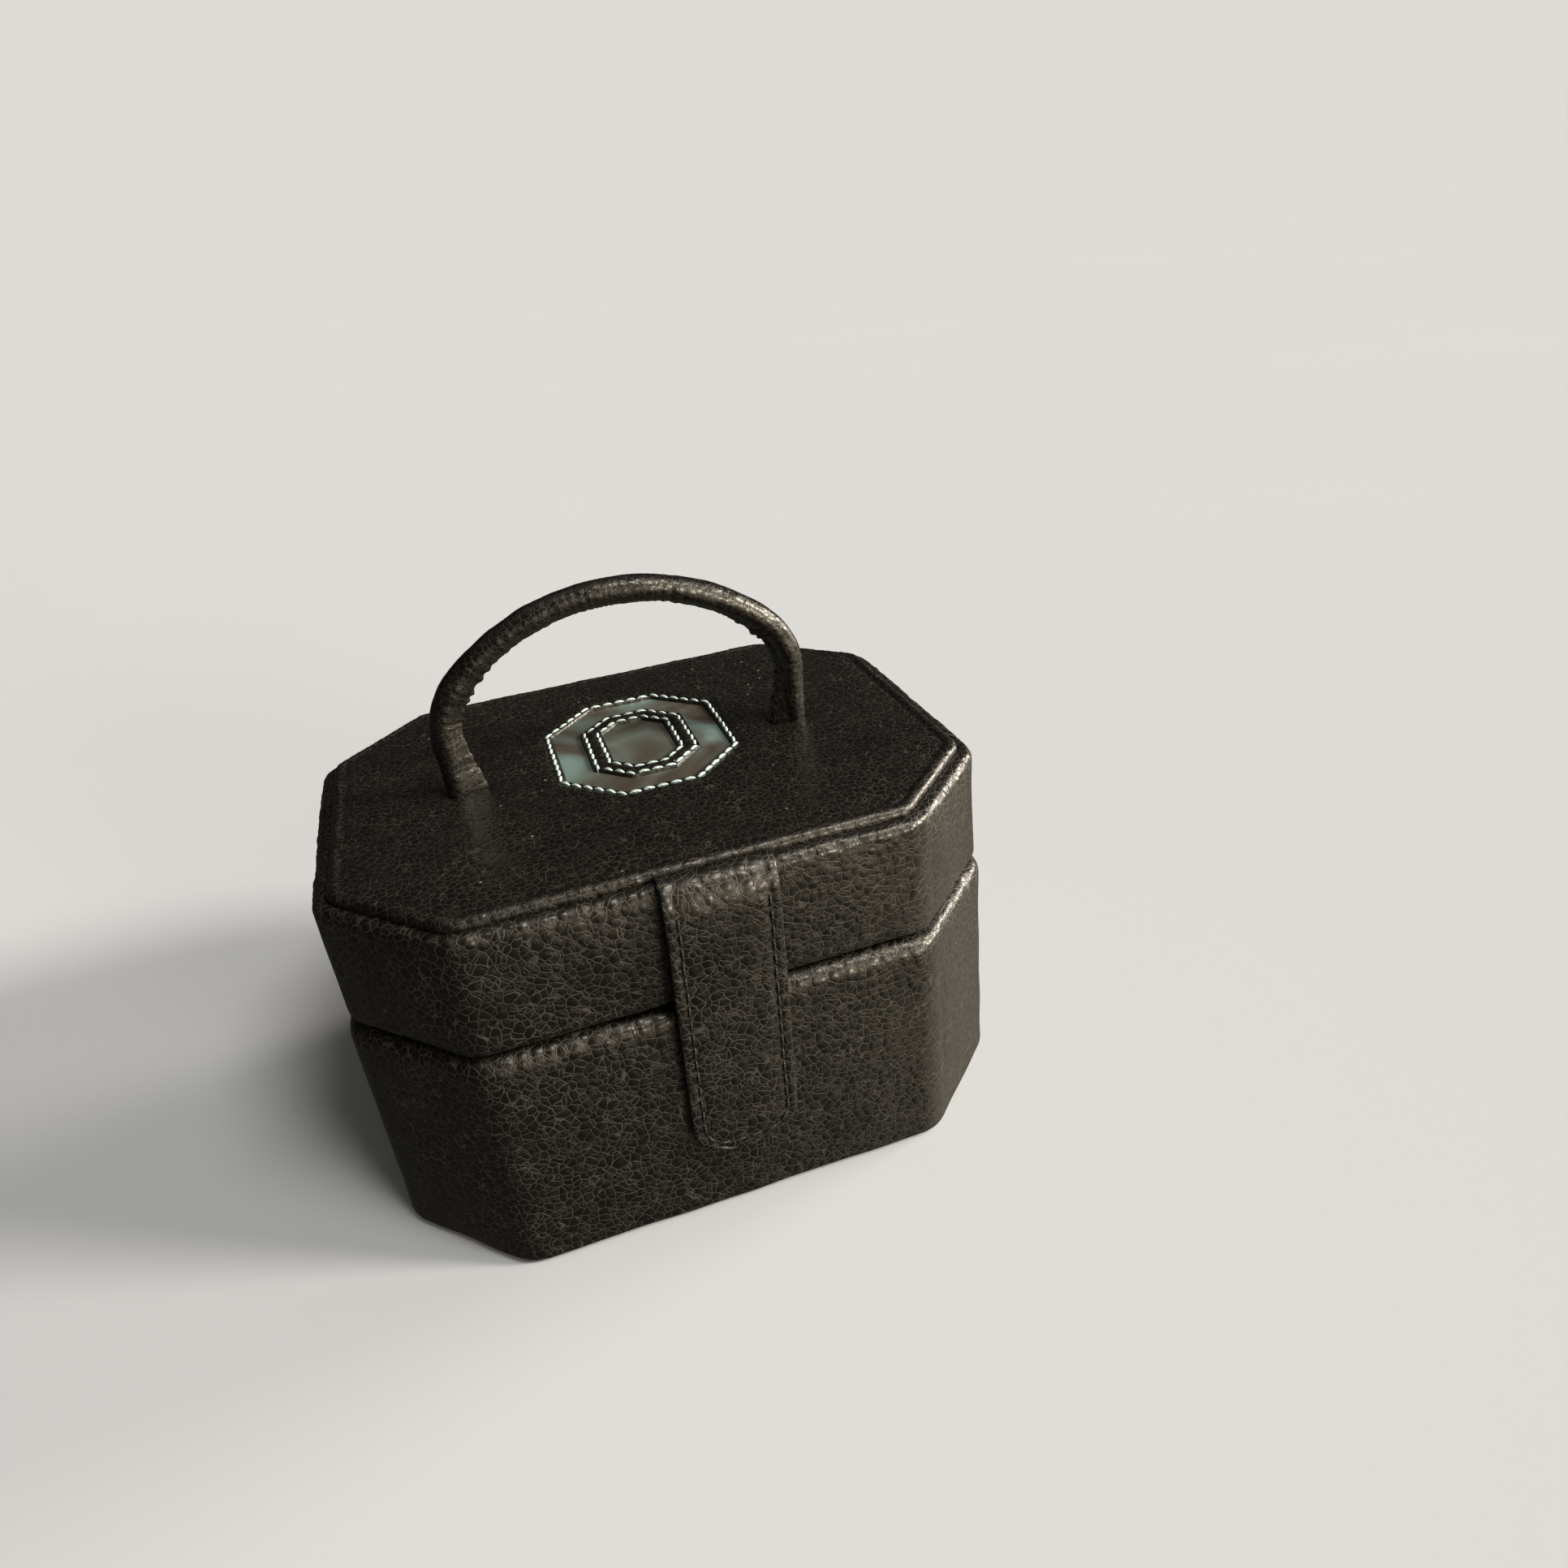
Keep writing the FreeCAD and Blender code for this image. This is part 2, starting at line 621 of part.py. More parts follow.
def handle():
    middle = "dims.handle_span / 2"

    def cover_ring(sketch):
        add_circle(sketch, middle, "0", "dims.handle_radius")
        add_circle(sketch, middle, "0", "dims.handle_core_radius + dims.glue_gap")

    def core_round(sketch):
        add_circle(sketch, middle, "0", "dims.handle_core_radius")

    def seam_strip(sketch):
        outer = f"{middle} - dims.handle_radius - dims.glue_gap"
        half = "dims.seam_thick / 2"
        add_loop(sketch, rectangle(f"{outer} - dims.seam_deep", outer, f"-({half})", half))

    arch("handle_cover", "0", cover_ring)
    arch("handle_core", "0", core_round)
    arch("handle_seam", "dims.handle_radius + dims.glue_gap", seam_strip)
    half = "(dims.handle_end_thick / 2)"
    foot = f"dims.handle_pivot - {half}"
    for label, side in (("handle_end_left", "-1"), ("handle_end_right", "1")):
        body = new_body(label)
        low_x = f"{side} * {HANDLE_END_X} - dims.handle_end_wide / 2"
        outline = flat_sketch(body, f"{label}_outline", "YZ_Plane", low_x)
        add_loop(outline, rectangle(f"-{half}", half, foot, "dims.handle_end_top"))
        tongue = pad(body, f"{label}_pad", outline, "dims.handle_end_wide")
        fillet(body, f"{label}_foot", tongue, low_edges("X", size(foot)), f"{half} * 0.98")


def handle_anchors():
    """Tails of the handle: down through the slits, and bent back and glued under the top board."""
    top = "dims.panel_top - dims.play"
    under = f"{TOP_BOARD_LOW} - dims.glue_gap"
    low = f"{under} - dims.tail_thick"
    half = "(dims.tail_thick / 2)"
    tip = f"dims.tail_length - {half}"
    corners = [(f"-{half}", low), (tip, low), (tip, under), (half, under), (half, top), (f"-{half}", top)]
    for label, side in (("handle_anchor_left", "-1"), ("handle_anchor_right", "1")):
        body = new_body(label)
        low_x = f"{side} * {HANDLE_END_X} - dims.tail_wide / 2"
        sketch = flat_sketch(body, f"{label}_outline", "YZ_Plane", low_x)
        add_loop(sketch, corners)
        pad(body, f"{label}_pad", sketch, "dims.tail_wide")


# ---------------------------------------------------------------- clasp tab
def tab_sheet(label, back_y, thick, inset="0"):
    """One upright layer of the tab, from its back face, with the two lower corners rounded."""
    body = new_body(label)
    half = f"(dims.tab_wide / 2 - ({inset}))"
    sketch = flat_sketch(body, f"{label}_outline", "XZ_Plane", f"-({back_y})")
    edges = (f"dims.tab_place - {half}", f"dims.tab_place + {half}",
             f"dims.tab_foot + ({inset})", "dims.tab_pivot")
    add_loop(sketch, rectangle(*edges))
    layer = pad(body, f"{label}_pad", sketch, thick)
    foot = size(f"dims.tab_foot + ({inset})")
    fillet(body, f"{label}_corners", layer, low_edges("Y", foot), f"dims.tab_round - ({inset})")
    return body


def clasp_tab():
    back = f"({FRONT} - dims.tab_gap)"
    filler_back = f"({back} - dims.tab_back)"
    front_back = f"({filler_back} - dims.tab_filler)"
    filler_thick = "dims.tab_filler - dims.glue_gap / 2"
    tab_sheet("tab_back_leather", back, "dims.tab_back - dims.glue_gap / 2")
    filler = tab_sheet("tab_filler", filler_back, filler_thick, "dims.tab_filler_inset")
    hole = flat_sketch(filler, "tab_magnet_hole_outline", "XZ_Plane", f"-{filler_back} - dims.tab_filler")
    add_circle(hole, "dims.tab_place", "dims.magnet_height", "dims.magnet_radius + dims.glue_gap")
    pocket(filler, "tab_magnet_hole", hole, "4 * dims.tab_filler")
    tab_sheet("tab_front_leather", front_back, "dims.tab_front")
    front_disc("tab_magnet", "dims.magnet_radius", filler_back, filler_thick)
    tab_seam(f"({front_back} - dims.tab_front)")


def tab_seam(face):
    """The seam near the tab's sides and foot: a thin layer with its middle cut away."""
    seam = tab_sheet("tab_stitching", face, "dims.tab_seam_high", "dims.tab_seam_inset")
    room = flat_sketch(seam, "tab_seam_room", "XZ_Plane", f"-{face} - dims.tab_seam_high")
    inset = "(dims.tab_seam_inset + dims.tab_seam_wide)"
    half = f"(dims.tab_wide / 2 - {inset})"
    foot = f"(dims.tab_foot + {inset})"
    head = "dims.tab_pivot + dims.tab_seam_wide"
    bevel = f"((dims.tab_round - {inset}) * (2 - sqrt(2)))"
    low_x, high_x = f"dims.tab_place - {half}", f"dims.tab_place + {half}"
    corners = [(low_x, head), (low_x, f"{foot} + {bevel}"),
               (f"{low_x} + {bevel}", foot), (f"{high_x} - {bevel}", foot),
               (high_x, f"{foot} + {bevel}"), (high_x, head)]
    add_loop(room, corners)
    pocket(seam, "tab_seam_middle", room, "4 * dims.tab_seam_high")


def tab_root():
    """The tab's glued end: from under the panel, over the lid's shoulder, to just above the fold."""
    body = new_body("tab_root")
    back = f"({FRONT} - dims.tab_gap)"
    front = f"({back} - dims.tab_back - dims.tab_filler - dims.tab_front)"
    low = "dims.lid_shoulder - dims.leather + dims.glue_gap / 2"
    high = f"({low} + dims.tab_root_thick)"
    end = "dims.tab_root_foot"
    inside = f"{FRONT} + dims.tab_root_length"
    corners = [(inside, low), (inside, high), (f"{front} + dims.tab_root_bevel", high),
               (front, f"{high} - dims.tab_root_bevel"), (front, end), (back, end), (back, low)]
    low_x = "dims.tab_place - dims.tab_wide / 2"
    sketch = flat_sketch(body, "tab_root_outline", "YZ_Plane", low_x)
    add_loop(sketch, corners)
    pad(body, "tab_root_pad", sketch, "dims.tab_wide")


# ---------------------------------------------------------------- hinge strip
def hinge():
    """The leather strip at the back, as a leaf on each half, with its round fold on the lower leaf."""
    low_x = "-dims.hinge_wide / 2"
    axis_y = f"({BACK} + dims.hinge_axis_out)"
    face = f"({BACK} + dims.glue_gap)"
    base_leaf = new_body("hinge_base_leaf")
    outline = flat_sketch(base_leaf, "hinge_base_outline", "YZ_Plane", low_x)
    leaf_high = "dims.hinge_axis_height"
    edges = (face, f"{face} + dims.hinge_thick", f"{leaf_high} - dims.hinge_leaf", leaf_high)
    add_loop(outline, rectangle(*edges))
    pad(base_leaf, "hinge_base_pad", outline, "dims.hinge_wide")
    fold = flat_sketch(base_leaf, "hinge_fold_outline", "YZ_Plane", low_x)
    add_circle(fold, axis_y, "dims.hinge_axis_height", "dims.hinge_fold_radius")
    pad(base_leaf, "hinge_fold", fold, "dims.hinge_wide")
    lid_leaf = new_body("hinge_lid_leaf")
    outline = flat_sketch(lid_leaf, "hinge_lid_outline", "YZ_Plane", low_x)
    lid_face = f"({BACK} - {LID} + dims.glue_gap)"
    low = "dims.hinge_axis_height + dims.hinge_fold_radius + dims.hinge_fold_gap"
    edges = (lid_face, f"{lid_face} + dims.hinge_thick", low, f"{low} + dims.hinge_leaf")
    add_loop(outline, rectangle(*edges))
    pad(lid_leaf, "hinge_lid_pad", outline, "dims.hinge_wide")


# ---------------------------------------------------------------- build
base_cover()
base_boards()
base_inside()
dividers_and_rolls()
lid_cover()
lid_boards()
lid_panel()
lid_inside()
motif()
handle()
handle_anchors()
clasp_tab()
tab_root()
hinge()
doc.recompute()

# ---------------------------------------------------------------- checks and export
for thing in doc.Objects:
    if "Invalid" in thing.State or "Error" in thing.State:
        raise RuntimeError(f"{thing.Label} did not compute: {thing.State}")
for label, thing in nodes.items():
    if thing.Shape.isNull() or not thing.Shape.isValid():
        raise RuntimeError(f"{label} has no valid shape")
for label, thing in nodes.items():
    thing.Shape.exportStep(f"parts/{label}.step")
whole = FreeCAD.BoundBox()
for thing in nodes.values():
    whole.add(thing.Shape.BoundBox)
print(f"{len(nodes)} sub-parts, {whole}")
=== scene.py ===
import json
import math
import random

import bmesh
import bpy
from mathutils import Matrix, Vector, noise


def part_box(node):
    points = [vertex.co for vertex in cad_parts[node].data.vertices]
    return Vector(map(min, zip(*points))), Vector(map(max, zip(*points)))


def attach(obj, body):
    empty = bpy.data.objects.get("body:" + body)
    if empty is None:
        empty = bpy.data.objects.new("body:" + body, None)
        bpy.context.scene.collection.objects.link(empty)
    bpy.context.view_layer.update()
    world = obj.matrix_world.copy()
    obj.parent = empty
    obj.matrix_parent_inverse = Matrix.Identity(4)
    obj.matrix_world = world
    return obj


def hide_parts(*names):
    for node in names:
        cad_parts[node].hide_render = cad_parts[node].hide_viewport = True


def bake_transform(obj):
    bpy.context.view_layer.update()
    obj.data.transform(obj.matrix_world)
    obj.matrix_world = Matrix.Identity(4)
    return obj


# Looks of the octagonal leather jewelry case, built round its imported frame. Everything is in metres.

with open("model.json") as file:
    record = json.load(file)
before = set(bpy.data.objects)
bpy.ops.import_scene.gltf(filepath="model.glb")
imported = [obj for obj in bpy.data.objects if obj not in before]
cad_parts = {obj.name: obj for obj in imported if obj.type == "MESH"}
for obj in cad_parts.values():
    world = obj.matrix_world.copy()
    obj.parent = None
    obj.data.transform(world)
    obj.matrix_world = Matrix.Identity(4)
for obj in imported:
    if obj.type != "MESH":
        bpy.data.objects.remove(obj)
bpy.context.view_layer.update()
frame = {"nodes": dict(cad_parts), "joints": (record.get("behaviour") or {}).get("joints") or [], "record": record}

MM = 0.001
BASE_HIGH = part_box("base_wall_cover")[1]
LID_LOW, LID_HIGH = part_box("lid_wall_cover")
PANEL_LOW, PANEL_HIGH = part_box("lid_panel_cover")
HALF_X, HALF_Y = BASE_HIGH.x, BASE_HIGH.y
CORNER = 18 * MM                        # legs of the cut corners
EDGE_ROUND = 7.5 * MM                   # rounding of the upright edges
LEATHER = 0.9 * MM
LID_INSET = HALF_X - LID_HIGH.x
PANEL_INSET = HALF_X - PANEL_HIGH.x
STEPS = (110, 34, 70, 10)               # points on a long side, cut corner, short side and rounded edge
PLAIN_STEPS = (60, 16, 40, 5)           # the same, on pieces without puckers
SIDE_ORDER = (2, 1, 0, 1)               # the sides in turn: short, cut corner, long, cut corner
OUTLINE_POINTS = 2 * STEPS[0] + 4 * STEPS[1] + 2 * STEPS[2] + 8 * STEPS[3]
SLANT = 2 - math.sqrt(2)                # how much a cut's legs shrink as the outline moves inwards


# ---------------- outlines
def eight_corners(inset, half_x, half_y, corner):
    """The outline's corners, `inset` inside the outer one, anticlockwise from the lower right."""
    x, y = half_x - inset, half_y - inset
    cut = corner - SLANT * inset
    right = [(x, cut - y), (x, y - cut)]
    top = [(x - cut, y), (cut - x, y)]
    left = [(-x, y - cut), (-x, cut - y)]
    bottom = [(cut - x, -y), (x - cut, -y)]
    return [Vector((a, b)) for a, b in right + top + left + bottom]


def octagon(inset, z, swell=0.0, half=(HALF_X, HALF_Y), corner=CORNER, rounding=EDGE_ROUND,
            centre=(0.0, 0.0), steps=STEPS):
    """A level loop of points round an eight-sided outline. swell pushes the flats outwards."""
    corners = eight_corners(inset, half[0], half[1], corner)
    radius = max(rounding - inset, 0.5 * MM)
    trim = radius * math.tan(math.pi / 8)
    loop = []
    for k in range(8):
        start, end = corners[k], corners[(k + 1) % 8]
        along = (end - start).normalized()
        out = Vector((along.y, -along.x))
        a, b = start + along * trim, end - along * trim
        count = steps[SIDE_ORDER[k % 4]]
        for i in range(count):
            u = i / count
            push = swell * (1 - (2 * u - 1) ** 4)
            loop.append(a.lerp(b, u) + out * push)
        hub = b - out * radius
        first = math.atan2(out.y, out.x)
        for i in range(steps[3]):
            turn = first + math.pi / 4 * i / steps[3]
            loop.append(hub + radius * Vector((math.cos(turn), math.sin(turn))))
    return [Vector((p.x + centre[0], p.y + centre[1], z)) for p in loop]


def arc(centre_inset, centre_z, radius, first, last, count=6):
    """Profile points (inset, z) on an arc; 0 degrees points inwards and 90 up."""
    points = []
    for i in range(count + 1):
        turn = math.radians(first + (last - first) * i / count)
        points.append((centre_inset + radius * math.cos(turn), centre_z + radius * math.sin(turn)))
    return points


def run(start, end, count):
    """Profile points on a straight stretch, without its last one."""
    return [tuple(a + (b - a) * i / count for a, b in zip(start, end)) for i in range(count)]


def walk(points, pitch, closed):
    """(place, direction) at even distances along a line of points."""
    ring = points + points[:1] if closed else points
    lengths = [(b - a).length for a, b in zip(ring, ring[1:])]
    whole = sum(lengths)
    count = max(2, round(whole / pitch))
    found, k, passed = [], 0, 0.0
    for i in range(count):
        target = whole * (i + 0.5) / count
        while passed + lengths[k] < target:
            passed += lengths[k]
            k += 1
        a, b = ring[k], ring[k + 1]
        found.append((a.lerp(b, (target - passed) / lengths[k]), (b - a).normalized()))
    return found


# ---------------- mesh making
def place_object(name, data):
    """A new object in the scene."""
    thing = bpy.data.objects.new(name, data)
    bpy.context.scene.collection.objects.link(thing)
    return thing


def mesh_object(name, vertices, faces, material, sharp):
    """A smooth-shaded piece, with hard edges where faces meet at more than `sharp` degrees."""
    mesh = bpy.data.meshes.new(name)
    mesh.from_pydata(vertices, [], faces)
    bm = bmesh.new()
    bm.from_mesh(mesh)
    bmesh.ops.recalc_face_normals(bm, faces=bm.faces)
    bm.to_mesh(mesh)
    bm.free()
    mesh.polygons.foreach_set("use_smooth", [True] * len(mesh.polygons))
    mesh.set_sharp_from_angle(angle=math.radians(sharp))
    mesh.materials.append(material)
    return place_object(name, mesh)


def skin_faces(rows, count, around, caps):
    """Faces between rows of `count` points; around joins the last row to the first."""
    faces = []
    for j in range(rows if around else rows - 1):
        a, b = j * count, (j + 1) % rows * count
        for i in range(count):
            n = (i + 1) % count
            faces.append((a + i, a + n, b + n, b + i))
    if caps[0]:
        faces.append(tuple(reversed(range(count))))
    if caps[1]:
        last = (rows - 1) * count
        faces.append(tuple(range(last, last + count)))
    return faces


def loft(name, loops, material, around=False, caps=(False, False), sharp=50):
    """A skin over loops with equal counts."""
    vertices = [p for loop in loops for p in loop]
    faces = skin_faces(len(loops), len(loops[0]), around, caps)
    return mesh_object(name, vertices, faces, material, sharp)


def ring_skin(name, profile, material, swell=None, **outline):
    """A closed ring: a profile of (inset, z) carried round the eight-sided outline."""
    loops = [octagon(inset, z, swell(inset, z) if swell else 0.0, **outline) for inset, z in profile]
    return loft(name, loops, material, around=True)


def relax(thing, size, depth, seed):
    """Soft unevenness: moves each vertex a little along its normal."""
    mesh = thing.data
    normals = [n.vector.copy() for n in mesh.vertex_normals]
    for vertex, normal in zip(mesh.vertices, normals):
        place = vertex.co / size + Vector((seed, seed * 0.7, seed * 1.3))
        vertex.co += normal * noise.noise(place) * depth
    mesh.update()


def pucker(thing, pitch, depth, weight, seed):
    """Gathers across an edge: each of the outline's points moves along its normals, as far as
    weight(place) says."""
    mesh = thing.data
    normals = [n.vector.copy() for n in mesh.vertex_normals]
    outline = [Vector(v.co) for v in mesh.vertices[:OUTLINE_POINTS]]
    finer = 2.1 / pitch
    ripple = [noise.noise(Vector((p.x / pitch, p.y / pitch, seed)))
              + 0.6 * noise.noise(Vector((p.x * finer, p.y * finer, seed + 5))) for p in outline]
    for index, (vertex, normal) in enumerate(zip(mesh.vertices, normals)):
        vertex.co += normal * ripple[index % OUTLINE_POINTS] * depth * weight(vertex.co)
    mesh.update()


def fade(value, low, high):
    """0 below low, 1 above high, smooth between; the other way round if high is below low."""
    share = min(max((value - low) / (high - low), 0.0), 1.0)
    return share * share * (3 - 2 * share)


def band(low, full_low, full_high, high):
    """A weight for pucker that is 1 between two heights and fades out below and above them."""
    return lambda place: fade(place.z, low, full_low) * fade(place.z, high, full_high)


def finish_piece(thing, body, slot, *nodes):
    """Hangs a piece on the empty of the body it rides on and hides the CAD nodes it stands for. slot, its finish,
    is not used.
    """
    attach(thing, body)
    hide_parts(*nodes)


# ---------------- materials
class Nodes:
    """A node tree under construction. Values are numbers, colours or the outputs of other nodes."""

    def __init__(self, tree):
        self.tree = tree

    def add(self, kind, values=None, **settings):
        node = self.tree.nodes.new(f"ShaderNode{kind}")
        for key, value in settings.items():
            setattr(node, key, value)
        for key, value in (values or {}).items():
            self.feed(node.inputs[key], value)
        return node

    def feed(self, socket, value):
        if isinstance(value, bpy.types.NodeSocket):
            self.tree.links.new(value, socket)
        else:
            socket.default_value = value

    def ramp(self, value, low, high, out_low=0.0, out_high=1.0):
        """0 below low and 1 above high, or out_low and out_high, and smooth between."""
        values = {"Value": value, "From Min": low, "From Max": high,
                  "To Min": out_low, "To Max": out_high}
        return self.add("MapRange", values, interpolation_type="SMOOTHSTEP").outputs["Result"]

    def bands(self, value, first, last, *between):
        """Colours from `first` to `last`, with further (place, colour) between them."""
        node = self.add("ValToRGB", {"Fac": value})
        stops = node.color_ramp.elements
        stops[0].color, stops[1].color = (*first, 1), (*last, 1)
        for place, colour in between:
            stops.new(place).color = (*colour, 1)
        return node.outputs["Color"]

    def mix(self, factor, first, second, blend="MIX"):
        node = self.add("Mix", {0: factor}, data_type="RGBA", blend_type=blend)
        for index, value in ((6, first), (7, second)):
            self.feed(node.inputs[index], (*value, 1.0) if isinstance(value, tuple) else value)
        return node.outputs[2]


class Shader(Nodes):
    """A material under construction."""

    def __init__(self, name, **settings):
        self.material = bpy.data.materials.new(name)
        self.material.use_nodes = True
        super().__init__(self.material.node_tree)
        self.bsdf = self.tree.nodes["Principled BSDF"]
        for key, value in settings.items():
            self.link(value, key.replace("_", " "))

    def link(self, value, name):
        self.feed(self.bsdf.inputs[name], value)

    def place(self, stretch=(1, 1, 1)):
        coordinates = self.add("TexCoord").outputs["Object"]
        return self.add("Mapping", {"Vector": coordinates, "Scale": stretch}).outputs["Vector"]

    def noise(self, where, scale, detail=3.0, distortion=0.0):
        values = {"Vector": where, "Scale": scale, "Detail": detail, "Distortion": distortion}
        return self.add("TexNoise", values).outputs["Fac"]

    def math(self, operation, *values):
        return self.add("Math", dict(enumerate(values)), operation=operation).outputs[0]

    def times(self, first, second):
        return self.math("MULTIPLY", first, second)

    def plus(self, first, second):
        return self.math("ADD", first, second)

    def bump(self, height, distance, strength=1.0, before=None):
        values = {"Height": height, "Distance": distance, "Strength": strength}
        if before is not None:
            values["Normal"] = before
        return self.add("Bump", values).outputs["Normal"]


def leather_material(name, cell=1.4 * MM, relief=0.13 * MM, lint=0.0, web_glint_share=1.0, rough=(0.26, 0.38)):
    """Pebbled black leather: smooth dark cells with a web of fine creases between them, whose paler colour is a
    painted highlight for the light their edges catch.
    """
    s = Shader(name, IOR=1.5, Specular_IOR_Level=0.55, Specular_Tint=(1.0, 0.93, 0.8, 1.0))
    where = s.place()
    drift = s.add("TexNoise", {"Vector": where, "Scale": 0.35 / cell, "Detail": 2.0}).outputs["Color"]
    shift = s.add("VectorMath", {0: drift, 1: (0.5, 0.5, 0.5)}, operation="SUBTRACT").outputs[0]
    shift = s.add("VectorMath", {0: shift, "Scale": cell * 1.5}, operation="SCALE").outputs[0]
    bent = s.add("VectorMath", {0: where, 1: shift}, operation="ADD").outputs[0]
    webs = []
    for scale, width in ((1.0, 0.065), (1.9, 0.05)):
        cells = s.add("TexVoronoi", {"Vector": bent, "Scale": scale / cell}, feature="DISTANCE_TO_EDGE")
        webs.append(s.ramp(cells.outputs["Distance"], 0.0, width, 1.0, 0.0))
    patches = s.ramp(s.noise(where, 0.45 / cell, 2.0), 0.42, 0.6)
    web = s.math("MAXIMUM", webs[0], s.times(s.times(webs[1], patches), 0.6))
    pebbles = s.add("TexVoronoi", {"Vector": bent, "Scale": 1 / cell}, feature="SMOOTH_F1")
    dome = s.ramp(pebbles.outputs["Distance"], 0.1, 0.75, 1.0, 0.0)
    grain = s.noise(where, 7 / cell, 3.0)
    height = s.plus(s.times(web, 0.2), s.times(dome, 0.8))
    height = s.plus(height, s.times(grain, 0.05))
    s.link(s.bump(height, relief), "Normal")
    # Painted highlight: the web's paler colour, patchy by noise, stands for light caught on the crease edges.
    web_glint_paint = s.times(web, s.ramp(s.noise(where, 140, 3.0), 0.25, 0.75, 0.35, 1.0))
    tone = s.mix(s.noise(where, 45, 3.0), (0.0022, 0.0018, 0.0015), (0.0045, 0.0037, 0.003))
    colour = s.mix(s.times(web_glint_paint, 0.75 * web_glint_share), tone, (0.047, 0.041, 0.032))
    if lint:
        specks = s.add("TexVoronoi", {"Vector": where, "Scale": 300.0})
        speck = s.ramp(specks.outputs["Distance"], 0.045, 0.085, 1.0, 0.0)
        speck = s.times(speck, s.ramp(s.noise(where, 90, 2.0), 0.54, 0.6, 0.0, lint))
        colour = s.mix(speck, colour, (0.3, 0.27, 0.23))
    s.link(colour, "Base Color")
    gloss = s.ramp(grain, 0.3, 0.7, *rough)
    s.link(s.plus(gloss, s.times(web, 0.3)), "Roughness")
    return s.material


def velvet_material(name):
    """Short black pile: speckled up close, with soft lighter and darker strokes where it was brushed."""
    s = Shader(name, Roughness=0.85, IOR=1.4, Sheen_Weight=0.55, Sheen_Roughness=0.4,
               Sheen_Tint=(0.42, 0.4, 0.43, 1))
    where = s.place()
    pile = s.noise(where, 2600, 2.0)
    nap = s.noise(s.place((1, 0.4, 0.6)), 420, 4.0, 0.4)
    brushed = s.noise(s.place((1, 0.3, 1)), 110, 2.0, 0.3)
    strokes = s.plus(s.times(nap, 0.65), s.times(brushed, 0.35))
    colour = (0.011, 0.01, 0.011)
    light = tuple(c * 2.6 for c in colour)
    speckle = s.mix(s.ramp(pile, 0.4, 0.6), (0.5, 0.5, 0.5), (1.3, 1.3, 1.3))
    base = s.mix(s.ramp(strokes, 0.4, 0.62), colour, light)
    s.link(s.mix(1.0, base, speckle, blend="MULTIPLY"), "Base Color")
    first = s.bump(pile, 0.3 * MM)
    s.link(s.bump(nap, 0.2 * MM, 0.6, first), "Normal")
    return s.material


def thread_material(name, colour, dark, sheen):
    """Twisted thread: slanting light and dark strands."""
    s = Shader(name, Roughness=0.55, Sheen_Weight=sheen)
    where = s.place()
    twist = s.add("TexWave", {"Vector": where, "Scale": 900.0, "Distortion": 2.0, "Detail": 1.0},
                  bands_direction="DIAGONAL").outputs["Fac"]
    s.link(s.mix(twist, dark, colour), "Base Color")
    s.link(s.bump(twist, 0.06 * MM, 0.8), "Normal")
    return s.material


def foil_material(name):
    """Thin mirror foil with soft waviness; the pale blue-green and brown patches in its colour are a painted
    reflection, the blue-green standing for the sky.
    """
    s = Shader(name, Metallic=0.55, Roughness=0.16)
    where = s.place()
    # Painted reflection: noise patches of sky blue-green and brown laid into the foil's colour.
    sweep = s.ramp(s.noise(where, 42, 2.0, 1.5), 0.3, 0.7)
    tint = s.bands(sweep, (0.11, 0.08, 0.055), (0.36, 0.52, 0.47), (0.45, (0.2, 0.2, 0.165)))
    s.link(tint, "Base Color")
    waves = s.bump(s.noise(where, 120, 2.0), 0.25 * MM, 0.5)
    s.link(s.bump(s.noise(where, 1500, 2.0), 0.01 * MM, 0.5, waves), "Normal")
    return s.material


def board_material(name, colour):
    """Paper board, foam or paper sheet, with short fibres."""
    s = Shader(name, Roughness=0.85)
    where = s.place()
    fibre = s.noise(s.place((1, 1, 6)), 700, 5.0)
    dark = tuple(c * 0.8 for c in colour)
    s.link(s.mix(fibre, dark, colour), "Base Color")
    s.link(s.bump(s.noise(where, 1600, 3.0), 0.05 * MM), "Normal")
    return s.material


def steel_material(name):
    """Brushed metal."""
    s = Shader(name, Metallic=1.0)
    brushed = s.noise(s.place((1, 1, 30)), 300, 3.0)
    s.link(s.mix(brushed, (0.42, 0.42, 0.43), (0.62, 0.62, 0.63)), "Base Color")
    s.link(s.ramp(brushed, 0.2, 0.8, 0.25, 0.42), "Roughness")
    return s.material


def mirror_material(name):
    """Silvered glass with a trace of haze."""
    s = Shader(name, Metallic=1.0)
    where = s.place()
    haze = s.ramp(s.noise(where, 70, 4.0), 0.4, 0.8, 0.015, 0.05)
    s.link(haze, "Roughness")
    s.link(s.mix(s.noise(where, 20), (0.86, 0.88, 0.88), (0.9, 0.92, 0.92)), "Base Color")
    return s.material


LEATHER_LOOK = leather_material("leather_black")
PANEL_LOOK = leather_material("leather_panel", cell=1.2 * MM, relief=0.09 * MM, lint=0.8, web_glint_share=0.8)
CORD_LOOK = leather_material("leather_handle", cell=1.1 * MM, relief=0.07 * MM, web_glint_share=0.3,
                             rough=(0.2, 0.32))
VELVET = velvet_material("velvet_black")
PALE_THREAD = thread_material("thread_pale", (0.62, 0.73, 0.67), (0.38, 0.48, 0.43), 0.2)
BLACK_THREAD = thread_material("thread_black", (0.014, 0.013, 0.013), (0.006, 0.006, 0.006), 0.0)
FOIL = foil_material("foil_painted_reflection")
GREYBOARD = board_material("greyboard", (0.36, 0.34, 0.3))
FOAM = board_material("foam", (0.6, 0.58, 0.52))
SHEET = board_material("bottom_sheet", (0.022, 0.021, 0.02))
STEEL = steel_material("magnet_steel")
MIRROR = mirror_material("mirror")


